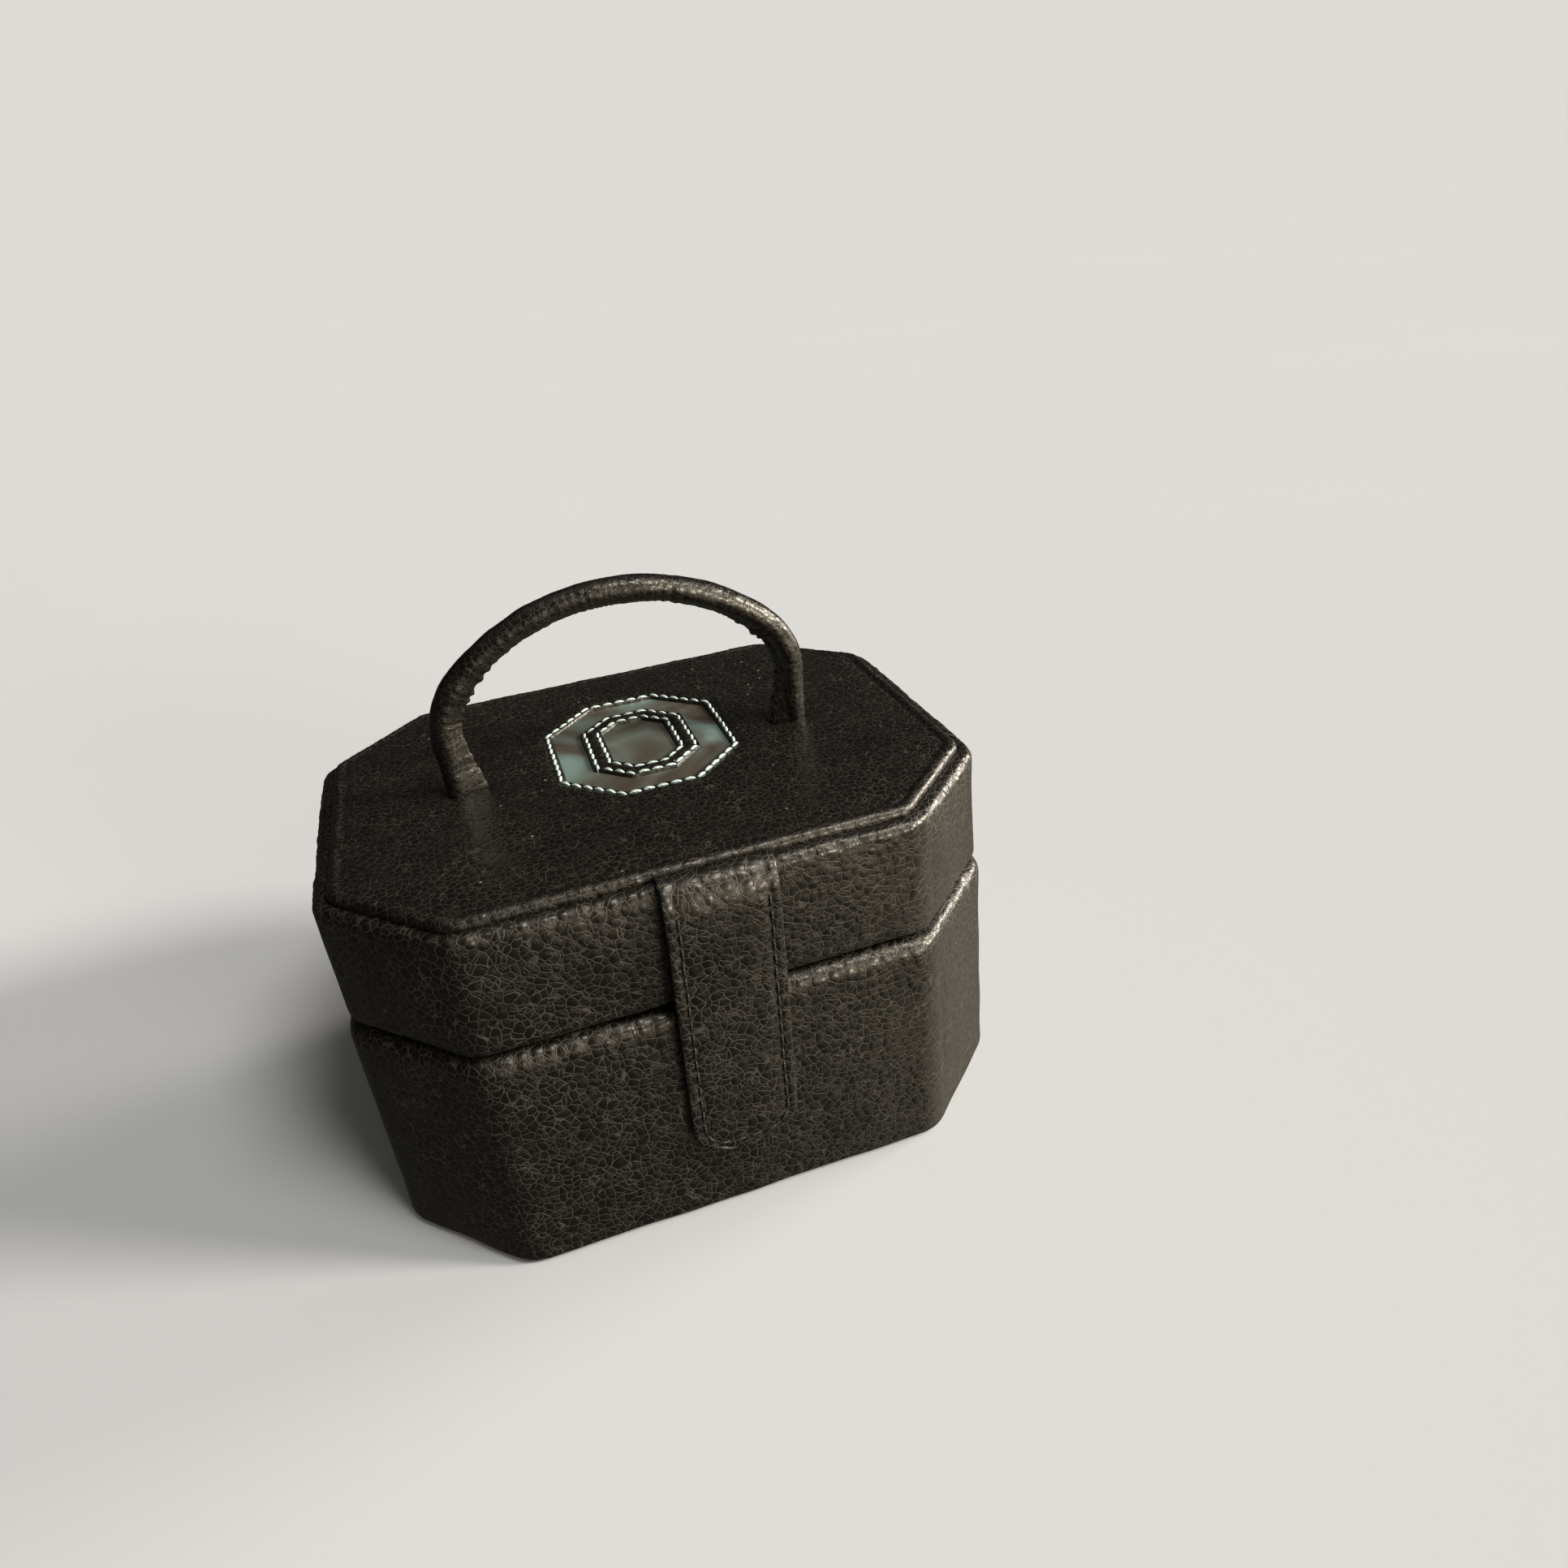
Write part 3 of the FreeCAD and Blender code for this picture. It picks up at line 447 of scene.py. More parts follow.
def paint_cad_nodes():
    """The CAD pieces that stay visible, or lie hidden between the layers, get their materials."""
    looks = {"leather_black": LEATHER_LOOK, "velvet_lining": VELVET, "greyboard": GREYBOARD,
             "padding_foam": FOAM, "bottom_sheet": SHEET, "motif_foil": FOIL,
             "thread_pale": PALE_THREAD, "thread_black": BLACK_THREAD, "mirror_glass": MIRROR,
             "magnet_steel": STEEL, "tab_liner": GREYBOARD, "cord_filler": FOAM}
    for entry in frame["record"]["subparts"]:
        thing = frame["nodes"][entry["node"]]
        for place in thing.material_slots:
            place.material = looks[entry["material_slot"]]


# ---------------- walls
def wall_swell(low, high, most):
    """Foam under the leather: the wall stands out most at half its height."""
    def push(inset, z):
        if not low < z < high or inset > 1.5 * MM:
            return 0.0
        return most * math.sin(math.pi * (z - low) / (high - low)) ** 0.6
    return push


def base_wall():
    """The base's leather: from its margin under the floor up the wall, over the rim and down inside."""
    top, foot, rim = BASE_HIGH.z, 2.0 * MM, 2.6 * MM
    margin, turn_in, lip = 9.0 * MM, 5.05 * MM, 1.6 * MM
    tucked = top - 9.8 * MM
    outside = run((margin, 0.0), (foot, 0.0), 6)
    outside += arc(foot, foot, foot, 270, 180)
    outside += run((0.0, foot + 1 * MM), (0.0, top - rim), 24)
    outside += arc(rim, top - rim, rim, 180, 90, 9)
    outside += arc(turn_in - lip, top - lip, lip, 80, 0, 5)
    inside = [(turn_in, tucked), (turn_in - LEATHER, tucked),
              (turn_in - LEATHER, top - 1.8 * MM), (rim, top - LEATHER)]
    inside += arc(rim, top - rim, rim - LEATHER, 90, 180, 5)
    inside += [(LEATHER, foot), (foot, LEATHER), (margin, LEATHER)]
    push = wall_swell(foot, top - rim, 0.6 * MM)
    skin = ring_skin("base_leather", outside + inside, LEATHER_LOOK, push)
    relax(skin, 9 * MM, 0.2 * MM, 3)
    near_rim = band(top - 6.5 * MM, top - 1.2 * MM, top - 0.3 * MM, top + 1 * MM)
    pucker(skin, 0.85 * MM, 0.13 * MM, near_rim, 2)
    for vertex in skin.data.vertices:
        vertex.co.z = max(vertex.co.z, 0.0)
    finish_piece(skin, "base", "leather_black", "base_wall_cover")


def lid_wall():
    """The lid's leather: over the lower rim, up the wall, and round the shoulder to the panel's edge."""
    low, top = LID_LOW.z, LID_HIGH.z
    rim, shoulder, crest = 1.9 * MM, 1.6 * MM, 1.0 * MM
    face, board_in, lip = LID_INSET, 4.15 * MM, PANEL_INSET + 0.2 * MM
    outside = run((board_in, low), (face + rim, low), 3)
    outside += arc(face + rim, low + rim, rim, 270, 180)
    outside += run((face, low + rim + 0.6 * MM), (face, top - shoulder), 14)
    outside += arc(face + shoulder, top - shoulder, shoulder, 180, 92, 8)
    outside += arc(face + shoulder + 0.1 * MM, top - crest, crest, 80, 25, 4)
    outside += [(lip, top - 1.3 * MM), (lip, top - 1.6 * MM)]
    inside = arc(face + shoulder, top - shoulder, shoulder - LEATHER, 60, 180, 5)
    inside += [(face + LEATHER, low + rim), (face + rim, low + LEATHER), (board_in, low + LEATHER)]
    push = wall_swell(low + rim * 0.5, top - shoulder * 0.5, 0.7 * MM)
    skin = ring_skin("lid_leather", outside + inside, LEATHER_LOOK, push)
    relax(skin, 8 * MM, 0.2 * MM, 11)
    near_shoulder = band(top - 8 * MM, top - 2.5 * MM, top - 0.4 * MM, top + 0.6 * MM)
    pucker(skin, 0.85 * MM, 0.17 * MM, near_shoulder, 7)
    finish_piece(skin, "lid", "leather_black", "lid_wall_cover")


# ---------------- top panel and motif
FOIL_LOW, FOIL_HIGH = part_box("motif_frame_foil")
RING_LOW, RING_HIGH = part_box("motif_ring")
CENTRE_LOW, CENTRE_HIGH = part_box("motif_centre_foil")
MOTIF_CENTRE = ((FOIL_LOW + FOIL_HIGH) / 2).xy
MOTIF_HALF = (FOIL_HIGH - FOIL_LOW).xy / 2 + Vector((0.1, 0.1)) * MM
MOTIF_CORNER = 8.5 * MM
MOTIF_ROUND = 0.9 * MM
RING_OUT = MOTIF_HALF.x - (RING_HIGH.x - RING_LOW.x) / 2
RING_IN = MOTIF_HALF.x - (CENTRE_HIGH.x - CENTRE_LOW.x) / 2 - 0.1 * MM
STITCH_INSET = 0.75 * MM
CROWN = 0.35 * MM                       # how high the padded panel stands between bead and motif
END_LOW, END_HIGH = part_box("handle_end_right")
HANDLE_END = (END_LOW + END_HIGH) / 2


def depth_inside(place):
    """How far inside the case's outline a place lies."""
    x, y = HALF_X - abs(place.x), HALF_Y - abs(place.y)
    slanted = (x + y - CORNER) / math.sqrt(2)
    return min(x, y, slanted)


def gem(inset, z):
    """A level loop along the motif's outline, `inset` inside its outer edge."""
    return octagon(inset, z, half=MOTIF_HALF, corner=MOTIF_CORNER, rounding=MOTIF_ROUND,
                   centre=MOTIF_CENTRE)


def panel():
    """The padded top: the leather rolls over the board's edge and dips along the motif's seam."""
    top, low, bead = PANEL_HIGH.z, PANEL_LOW.z, 1.25 * MM
    flat = PANEL_INSET + bead
    profile = [(PANEL_INSET + LEATHER, low), (PANEL_INSET, low), (PANEL_INSET, low + 0.8 * MM)]
    profile += arc(flat, top - bead, bead, 180, 90, 8)
    profile += [(flat + 0.5 * MM, top - 0.12 * MM), (flat + 0.85 * MM, top - 0.34 * MM)]
    loops = [octagon(inset, z) for inset, z in profile]
    outer = octagon(flat + 1.3 * MM, top - 0.2 * MM)
    inner = gem(-2.2 * MM, top)
    rings = 30
    for k in range(rings + 1):
        share = k / rings
        lift = 0.2 * MM * share ** 0.5 + CROWN * 0.5 * math.sin(math.pi * min(share * 1.4, 1))
        loops.append([a.lerp(b, share) + Vector((0, 0, lift)) for a, b in zip(outer, inner)])
    under = top - LEATHER - 0.02 * MM
    dip = [(-1.5 * MM, top - 0.02 * MM), (-STITCH_INSET, top - 0.22 * MM), (-0.25 * MM, top - 0.05 * MM),
           (0.0, top - 0.25 * MM), (0.02 * MM, FOIL_LOW.z + 0.1 * MM), (-0.3 * MM, under)]
    loops += [gem(inset, z) for inset, z in dip]
    loops += [octagon(flat, under), octagon(PANEL_INSET + LEATHER, top - bead)]
    skin = loft("panel_leather", loops, PANEL_LOOK, around=True)
    relax(skin, 12 * MM, 0.15 * MM, 5)

    def on_bead(place):
        return fade(depth_inside(place), PANEL_INSET + 4.5 * MM, PANEL_INSET + 1.5 * MM)

    pucker(skin, 0.9 * MM, 0.1 * MM, on_bead, 3)
    dent, dent_length, dent_width = 0.55 * MM, 4.2 * MM, 2.2 * MM
    for vertex in skin.data.vertices:
        if vertex.co.z > under:
            across = abs(abs(vertex.co.x) - HANDLE_END.x) / dent_length
            away = abs(vertex.co.y) / dent_width
            vertex.co.z -= dent * math.exp(-across ** 4 - away ** 2)
    finish_piece(skin, "lid", "leather_black", "lid_panel_cover")


def motif_leather():
    """The leather ring between the two foil areas, dipped along its two seams."""
    top, low = RING_HIGH.z, RING_LOW.z
    side = [(0.02 * MM, low), (0.0, top - 0.25 * MM), (0.2 * MM, top - 0.02 * MM),
            (STITCH_INSET, top - 0.2 * MM), (1.3 * MM, top + 0.1 * MM)]
    loops = [gem(RING_OUT + inwards, z) for inwards, z in side]
    loops.append(gem((RING_OUT + RING_IN) / 2, top + 0.16 * MM))
    loops += [gem(RING_IN - outwards, z) for outwards, z in side[::-1]]
    ring = loft("motif_ring_leather", loops, PANEL_LOOK, around=True)
    finish_piece(ring, "lid", "leather_black", "motif_ring")


def motif_foil():
    """The foil frame and the foil centre, each slightly crowned."""
    top, low = FOIL_HIGH.z, FOIL_LOW.z
    edge = 0.12 * MM
    frame_loops = [gem(edge, low), gem(edge, top), gem(RING_OUT / 2, top + 0.08 * MM),
                   gem(RING_OUT - edge, top), gem(RING_OUT - edge, low)]
    foil = loft("motif_frame", frame_loops, FOIL, around=True, sharp=30)
    finish_piece(foil, "lid", "motif_foil", "motif_frame_foil")
    inset = RING_IN + edge
    centre_loops = [gem(inset, low), gem(inset, top), gem(inset + 1.5 * MM, top + 0.06 * MM),
                    gem(inset + 4 * MM, top + 0.08 * MM)]
    centre = loft("motif_centre", centre_loops, FOIL, caps=(True, True), sharp=30)
    finish_piece(centre, "lid", "motif_foil", "motif_centre_foil")


STITCH_ROWS, STITCH_SIDES = 7, 8


def stitch_points(place, along, up, length, radius, rise, skew):
    """One stitch: a short thread that arches between two holes."""
    side = along.cross(up)
    points = []
    for i in range(STITCH_ROWS):
        u = i / (STITCH_ROWS - 1)
        thick = radius * (0.55 + 0.45 * math.sin(math.pi * u) ** 0.5)
        lift = rise * (math.sin(math.pi * u) ** 0.7) - radius * 0.9
        hub = place + along * (u - 0.5) * length + side * (skew * (u - 0.5)) + up * lift
        for k in range(STITCH_SIDES):
            turn = 2 * math.pi * k / STITCH_SIDES
            points.append(hub + (side * math.cos(turn) + up * math.sin(turn)) * thick)
    return points


def stitching(name, lines, up, material, pitch, length, radius, rise, skew, seed):
    """Rows of stitches on a face that looks along `up`. Each line is (points, whether it is closed)."""
    chance = random.Random(seed)
    pattern = skin_faces(STITCH_ROWS, STITCH_SIDES, around=False, caps=(True, True))
    vertices, faces = [], []
    for points, closed in lines:
        for place, along in walk(points, pitch, closed):
            along = (along - up * along.dot(up)).normalized()
            sway = along.cross(up) * chance.uniform(-0.06, 0.06) * MM
            size = length * chance.uniform(0.94, 1.04)
            start = len(vertices)
            vertices += stitch_points(place + sway, along, up, size, radius, rise, skew)
            faces += [tuple(start + i for i in side) for side in pattern]
    return mesh_object(name, vertices, faces, material, sharp=80)


def motif_stitches():
    """Pale thread outside the foil and on both edges of the leather ring."""
    level = PANEL_HIGH.z - 0.12 * MM
    lines = [(gem(inset, level), True)
             for inset in (-STITCH_INSET, RING_OUT + STITCH_INSET, RING_IN - STITCH_INSET)]
    rows = stitching("motif_thread", lines, Vector((0, 0, 1)), PALE_THREAD, pitch=2.3 * MM,
                     length=2.15 * MM, radius=0.3 * MM, rise=0.3 * MM, skew=0.3 * MM, seed=4)
    finish_piece(rows, "lid", "thread_pale", "motif_stitching")


# ---------------- straps: clasp tab and hinge strip
def strap_profile(side, above, crown, below, low):
    """Round a strap's section: (place across for a half width, height). side is (inset, height) up
    its edge; above and below are places between the edges, as shares of the half width."""
    def edge(sign, inset):
        return lambda wide: sign * max(wide - inset, 0.0)

    def middle(share):
        return lambda wide: wide * share

    profile = [(edge(-1, inset), height) for inset, height in side]
    profile += [(middle(share), crown) for share in above]
    profile += [(edge(1, inset), height) for inset, height in side[::-1]]
    return profile + [(middle(share), low) for share in below]


def path_length(path):
    """Length of a run of points."""
    return sum((b - a).length for a, b in zip(path, path[1:]))


def strap(name, path, half_width, profile, material, lean=lambda s: 0.0, thin=lambda s: 1.0):
    """A strap with that profile along a path of (y, z) points, its width along X. Half width, sideways
    lean and thinning depend on the distance from its start."""
    loops, passed = [], 0.0
    for i, point in enumerate(path):
        before, after = path[max(i - 1, 0)], path[min(i + 1, len(path) - 1)]
        passed += (point - before).length
        along = (after - before).normalized()
        out = Vector((0, along.y, -along.x))
        middle = Vector((lean(passed), point.x, point.y))
        wide = half_width(passed)
        loops.append([middle + Vector((place(wide), 0, 0)) + out * height * thin(passed)
                      for place, height in profile])
    return loft(name, loops, material, caps=(True, True), sharp=60)


def smoothed(path, rounds):
    """The path with its corners eased, and its two ends where they were."""
    for _ in range(rounds):
        eased = [(a + b * 2 + c) / 4 for a, b, c in zip(path, path[1:], path[2:])]
        path = [path[0], *eased, path[-1]]
    return path


def divided(corners, pitch):
    """A run of (y, z) points through corners, at most `pitch` apart."""
    path = []
    for a, b in zip(corners, corners[1:]):
        count = max(1, math.ceil((b - a).length / pitch))
        path += [a.lerp(b, i / count) for i in range(count)]
    return path + [corners[-1]]


TAB_LOW, TAB_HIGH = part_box("tab_front_leather")
TAB_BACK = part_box("tab_back_leather")
TAB_HALF = (TAB_HIGH.x - TAB_LOW.x) / 2
TAB_MIDDLE = (TAB_HIGH.x + TAB_LOW.x) / 2
TAB_TOP_X, TAB_FOOT_X = TAB_MIDDLE + 0.8 * MM, TAB_MIDDLE - 0.8 * MM
TAB_ROUND = 6.0 * MM
TAB_SEAM = 1.8 * MM


def tab_path():
    """(y, z) points of the tab's back face: out from under the panel, over the shoulder, and down."""
    top, face = LID_HIGH.z, TAB_BACK[1].y
    seat = PANEL_LOW.y
    corners = [(seat + 1.2 * MM, top - 0.9 * MM), (seat + 0.2 * MM, top - 0.5 * MM),
               (seat - 0.9 * MM, top + 0.1 * MM), (seat - 2.1 * MM, top - 0.05 * MM),
               (face + 0.3 * MM, top - 1.2 * MM), (face, top - 2.8 * MM), (face, TAB_LOW.z + TAB_ROUND)]
    path = smoothed(divided([Vector(c) for c in corners], 0.55 * MM), 4)
    for k in range(1, 19):
        path.append(Vector((face, TAB_LOW.z + TAB_ROUND * (1 - math.sin(math.pi / 2 * k / 18)))))
    return path


def tab_layer(name, low, high, puff, inset, replaced):
    """One layer of the tab between two heights over its back face."""
    path = tab_path()
    whole = path_length(path)
    full = TAB_HALF - inset

    def half_width(passed):
        into = max(TAB_ROUND - (whole - passed), 0.0)
        return full - TAB_ROUND + math.sqrt(max(TAB_ROUND ** 2 - into ** 2, 0.0)) + 0.05 * MM

    def lean(passed):
        return TAB_TOP_X + (TAB_FOOT_X - TAB_TOP_X) * passed / whole

    def thin(passed):
        return 0.5 + 0.5 * fade(passed, 2.5 * MM, 9 * MM)

    seam = TAB_SEAM
    side = [(0.0, low), (0.0, (low + high) / 2), (0.08 * MM, high - 0.1 * MM), (0.3 * MM, high),
            (seam * 0.72, high + 0.02 * MM), (seam, high - 0.16 * MM), (seam * 1.3, high + 0.02 * MM),
            (seam * 2, high + puff * 0.8)]
    profile = strap_profile(side, (-0.3, 0.0, 0.3), high + puff, (0.5, 0.0, -0.5), low)
    layer = strap(name, path, half_width, profile, LEATHER_LOOK, lean, thin)
    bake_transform(layer)
    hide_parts(*replaced)


def tab_seam_line():
    """The seam inside the tab's edge: down one side, round the foot and up the other side."""
    half, radius = TAB_HALF - TAB_SEAM, TAB_ROUND - TAB_SEAM
    top, foot = PANEL_HIGH.z - 5.2 * MM, TAB_LOW.z + TAB_SEAM
    left = [(-half, top), (-half, foot + radius)]
    for k in range(1, 11):
        turn = k * math.pi / 20
        left.append((radius - half - radius * math.cos(turn), foot + radius - radius * math.sin(turn)))
    points = []
    for x, z in left + [(-x, z) for x, z in left[::-1]]:
        share = (PANEL_HIGH.z - z) / (PANEL_HIGH.z - TAB_LOW.z)
        lean = TAB_TOP_X + (TAB_FOOT_X - TAB_TOP_X) * share
        points.append(Vector((x + lean, TAB_LOW.y - 0.02 * MM, z)))
    return points


def clasp_tab():
    """The tab's two layers of leather and the seam that joins them."""
    split = TAB_BACK[1].y - TAB_HIGH.y
    face = TAB_BACK[1].y - TAB_LOW.y
    tab_layer("tab_back", 0.0, split - 0.06 * MM, 0.0, 0.2 * MM, ("tab_back_leather", "tab_filler"))
    tab_layer("tab_front", split, face, 0.15 * MM, 0.0, ("tab_front_leather", "tab_root"))
    rows = stitching("tab_thread", [(tab_seam_line(), False)], Vector((0, -1, 0)), BLACK_THREAD,
                     pitch=2.6 * MM, length=2.1 * MM, radius=0.2 * MM, rise=0.28 * MM, skew=0.1 * MM,
                     seed=9)
    finish_piece(rows, "tab", "thread_black", "tab_stitching")


def hinge_strip():
    """One strip of leather over the back of both halves, with a soft fold at the gap."""
    lid_low, lid_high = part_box("hinge_lid_leaf")
    base_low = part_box("hinge_base_leaf")[0]
    axis = Vector(next(j for j in frame["joints"] if j["name"] == "lid_hinge")["pos_m"])
    thick = lid_high.y - lid_low.y
    inner = [(base_low.y, base_low.z), (base_low.y, axis.z - 2.2 * MM),
             (axis.y - 1.0 * MM, axis.z - 1.2 * MM), (axis.y - 1.2 * MM, axis.z + 0.2 * MM),
             (lid_low.y, axis.z + 1.4 * MM), (lid_low.y, axis.z + 2.4 * MM), (lid_low.y, lid_high.z)]
    path = smoothed(divided([Vector(p) for p in inner], 0.6 * MM), 3)
    seam, crown = 1.6 * MM, thick + 0.05 * MM
    side = [(0.0, 0.0), (0.0, thick * 0.6), (0.3 * MM, thick), (seam * 0.7, thick),
            (seam, thick - 0.15 * MM), (seam * 1.3, thick), (seam * 3, crown)]
    above, below = [k / 10 for k in range(-8, 9)], [k / 10 for k in range(8, -9, -2)]
    profile = strap_profile(side, above, crown, below, 0.0)
    strip = strap("hinge_strip", path, lambda s: lid_high.x, profile, LEATHER_LOOK)
    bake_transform(strip)
    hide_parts("hinge_lid_leaf", "hinge_base_leaf")


# ---------------- handle
HANDLE_LOW, HANDLE_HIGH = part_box("handle_cover")
HANDLE_RADIUS = (HANDLE_HIGH.y - HANDLE_LOW.y) / 2
HANDLE_STEP = 0.32 * MM                 # between two sections
END_RADIUS = 1.75 * MM                  # of the two ends that go into the lid


def handle_line():
    """Places along the handle's middle line, left to right, at even distances."""
    half = HANDLE_HIGH.x - HANDLE_RADIUS
    spring = HANDLE_LOW.z + 0.9 * MM
    rise = HANDLE_HIGH.z - HANDLE_RADIUS - spring
    small = 13 * MM
    large = ((half - small) ** 2 + rise ** 2 - small ** 2) / (2 * (rise - small))
    hub = Vector((0, 0, spring + rise - large))
    turn = math.pi - math.atan2(spring - hub.z, half - small)
    foot = END_LOW.z - 1.6 * MM
    end_x = END_HIGH.x - END_RADIUS
    half_line = [Vector((-end_x, 0, foot)), Vector((-end_x, 0, foot + 3 * MM)),
                 Vector((-half, 0, spring))]
    for i in range(1, 17):
        a = math.pi - (math.pi - turn) * i / 16
        half_line.append(Vector((small - half + small * math.cos(a), 0, spring + small * math.sin(a))))
    for i in range(1, 33):
        a = turn + (math.pi / 2 - turn) * i / 32
        half_line.append(hub + large * Vector((math.cos(a), 0, math.sin(a))))
    whole = half_line + [Vector((-p.x, 0, p.z)) for p in half_line[-2::-1]]
    return [place for place, _ in walk(whole, HANDLE_STEP, closed=False)]


def handle_section(share, wobble):
    """The handle's section: a round bead with a flat sewn flange inside, wide at the two ends."""
    end = fade(share, 0.13, 0.0)
    radius = HANDLE_RADIUS + (END_RADIUS - HANDLE_RADIUS) * end
    leg = fade(share, 0.31, 0.2)
    flange = 0.1 * MM + (0.7 * MM + wobble) * leg * (1 - end) + 3.0 * MM * end
    thick = 0.7 * MM + 0.15 * MM * end
    reach = math.asin(thick / radius)
    points = []
    sides = 26
    for i in range(sides + 1):
        a = -math.pi + reach * 1.4 + (2 * math.pi - 2.8 * reach) * i / sides
        points.append(Vector((radius * math.cos(a), radius * math.sin(a))))
    root, tip = -radius, -(radius + flange)
    for x, w in ((root, 1.0), (tip + 0.35 * MM, 0.95), (tip + 0.08 * MM, 0.6), (tip, 0.0),
                 (tip + 0.08 * MM, -0.6), (tip + 0.35 * MM, -0.95), (root, -1.0)):
        points.append(Vector((x, thick * w)))
    return points


def handle():
    """The handle in one skin, ridged along its length and wavy where its shoulders bend."""
    line = handle_line()
    count = len(line)
    loops = []
    for i, place in enumerate(line):
        before, after = line[max(i - 1, 0)], line[min(i + 1, count - 1)]
        along = (after - before).normalized()
        out = Vector((-along.z, 0, along.x))
        s = i * HANDLE_STEP
        share = min(i, count - 1 - i) / (count - 1)
        shoulder = math.exp(-((share - 0.25) / 0.05) ** 2)
        wobble = 0.38 * MM * shoulder * math.sin(s / (0.42 * MM) + 4 * noise.noise(place / (3 * MM)))
        ridge = 0.08 * MM * noise.noise(Vector((s / (0.83 * MM), 0.3, 0.7)))
        ridge += 0.1 * MM * noise.noise(Vector((s / (0.47 * MM), 4.1, 2.2)))
        loop = []
        for p in handle_section(share, wobble):
            inner = 0.5 - 0.5 * max(-1.0, min(p.x / HANDLE_RADIUS, 1.0))
            swell = p * (1 + ridge * (0.35 + inner) / HANDLE_RADIUS)
            loop.append(place + out * swell.x + Vector((0, swell.y, 0)))
        loops.append(loop)
    body = loft("handle_leather", loops, CORD_LOOK, caps=(True, True), sharp=70)
    relax(body, 4 * MM, 0.16 * MM, 8)
    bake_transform(body)
    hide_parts("handle_cover", "handle_seam", "handle_end_left", "handle_end_right")


# ---------------- inside of the case
ROOM_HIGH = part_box("floor_pad")[1]
COLLAR_LOW, COLLAR_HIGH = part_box("base_lining")
SIM_SCALE = 12.0                        # the cloth solver works best on cushion-sized things


def collar():
    """Velvet over the locating collar: up its outside, over the lip, and down to the case's floor."""
    out = HALF_X - COLLAR_HIGH.x
    inner = HALF_X - ROOM_HIGH.x
    low, high = COLLAR_LOW.z, COLLAR_HIGH.z
    lip = (inner - out) / 2
    profile = run((out, BASE_HIGH.z - 8 * MM), (out, high - lip), 10)
    profile += arc(out + lip, high - lip, lip, 180, 0, 8)
    profile += run((inner, high - lip - 1 * MM), (inner, low), 24) + [(inner, low), (out + lip, low)]
    skin = ring_skin("collar_velvet", profile, VELVET, steps=PLAIN_STEPS)
    relax(skin, 14 * MM, 0.18 * MM, 21)
    finish_piece(skin, "base", "velvet_lining", "base_lining", "collar_board")


def lid_lining():
    """The thin velvet band inside the lid's wall."""
    low_corner, high_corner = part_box("lid_lining")
    out = HALF_X - high_corner.x
    thick = 0.35 * MM
    low, high = low_corner.z, high_corner.z
    profile = run((out, low), (out, high), 8) + run((out, high), (out + thick, high), 1)
    profile += run((out + thick, high), (out + thick, low + 0.3 * MM), 12) + [(out + thick / 2, low)]
    skin = ring_skin("lid_velvet", profile, VELVET, steps=PLAIN_STEPS)
    finish_piece(skin, "lid", "velvet_lining", "lid_lining")


def divider(node):
    """A velvet-covered board: upright, with softly rounded ends and top edge."""
    low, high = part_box(node)
    soft, thinnest = 0.9 * MM, 0.25 * MM
    size = high - low
    long_axis = 0 if size.x > size.y else 1
    wide_axis = 1 - long_axis
    length, wide = size[long_axis], size[wide_axis]
    middle = (low[wide_axis] + high[wide_axis]) / 2
    loops = []
    stations = max(8, round(length / (1.2 * MM)))
    for i in range(stations + 1):
        along = length * i / stations
        near = min(along, length - along)
        pinch = math.sqrt(max(soft ** 2 - max(soft - near, 0.0) ** 2, 0.0)) if near < soft else soft
        half = wide / 2 - soft + max(pinch, thinnest)
        top = high.z - soft + max(pinch, thinnest)
        side = [low.z, low.z + size.z * 0.3, low.z + size.z * 0.65, top - half]
        loop = [(-half, z) for z in side]
        for k in range(1, 8):
            turn = math.pi - math.pi * k / 8
            loop.append((half * math.cos(turn), top - half + half * math.sin(turn)))
        loop += [(half, z) for z in side[::-1]]
        ring = []
        for across, z in loop:
            place = Vector((0, 0, z))
            place[long_axis] = low[long_axis] + along
            place[wide_axis] = middle + across
            ring.append(place)
        loops.append(ring)
    thing = loft(f"{node}_velvet", loops, VELVET, caps=(True, True), sharp=75)
    relax(thing, 10 * MM, 0.14 * MM, 31)
    finish_piece(thing, "base", "velvet_lining", node)


def remeshed(node, shrink, voxel):
    """A velvet copy of a CAD pad, pulled in a little from its neighbours and remeshed for the solver."""
    low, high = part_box(node)
    middle, half = (low + high) / 2, (high - low) / 2
    share = Vector([(h - s) / h for h, s in zip(half, shrink)])
    mesh = frame["nodes"][node].data.copy()
    mesh.materials.clear()
    pad = place_object(f"{node}_velvet", mesh)
    for vertex in mesh.vertices:
        for axis in range(3):
            offset = (vertex.co[axis] - middle[axis]) * share[axis]
            vertex.co[axis] = (middle[axis] + offset) * SIM_SCALE
    step = pad.modifiers.new("remesh", "REMESH")
    step.mode = "VOXEL"
    step.voxel_size = voxel * SIM_SCALE
    apply_modifiers(pad)
    pad.data.materials.append(VELVET)
    return pad


def apply_modifiers(thing):
    """Bakes a piece's modifiers into its mesh."""
    graph = bpy.context.evaluated_depsgraph_get()
    mesh = bpy.data.meshes.new_from_object(thing.evaluated_get(graph))
    thing.modifiers.clear()
    thing.data = mesh


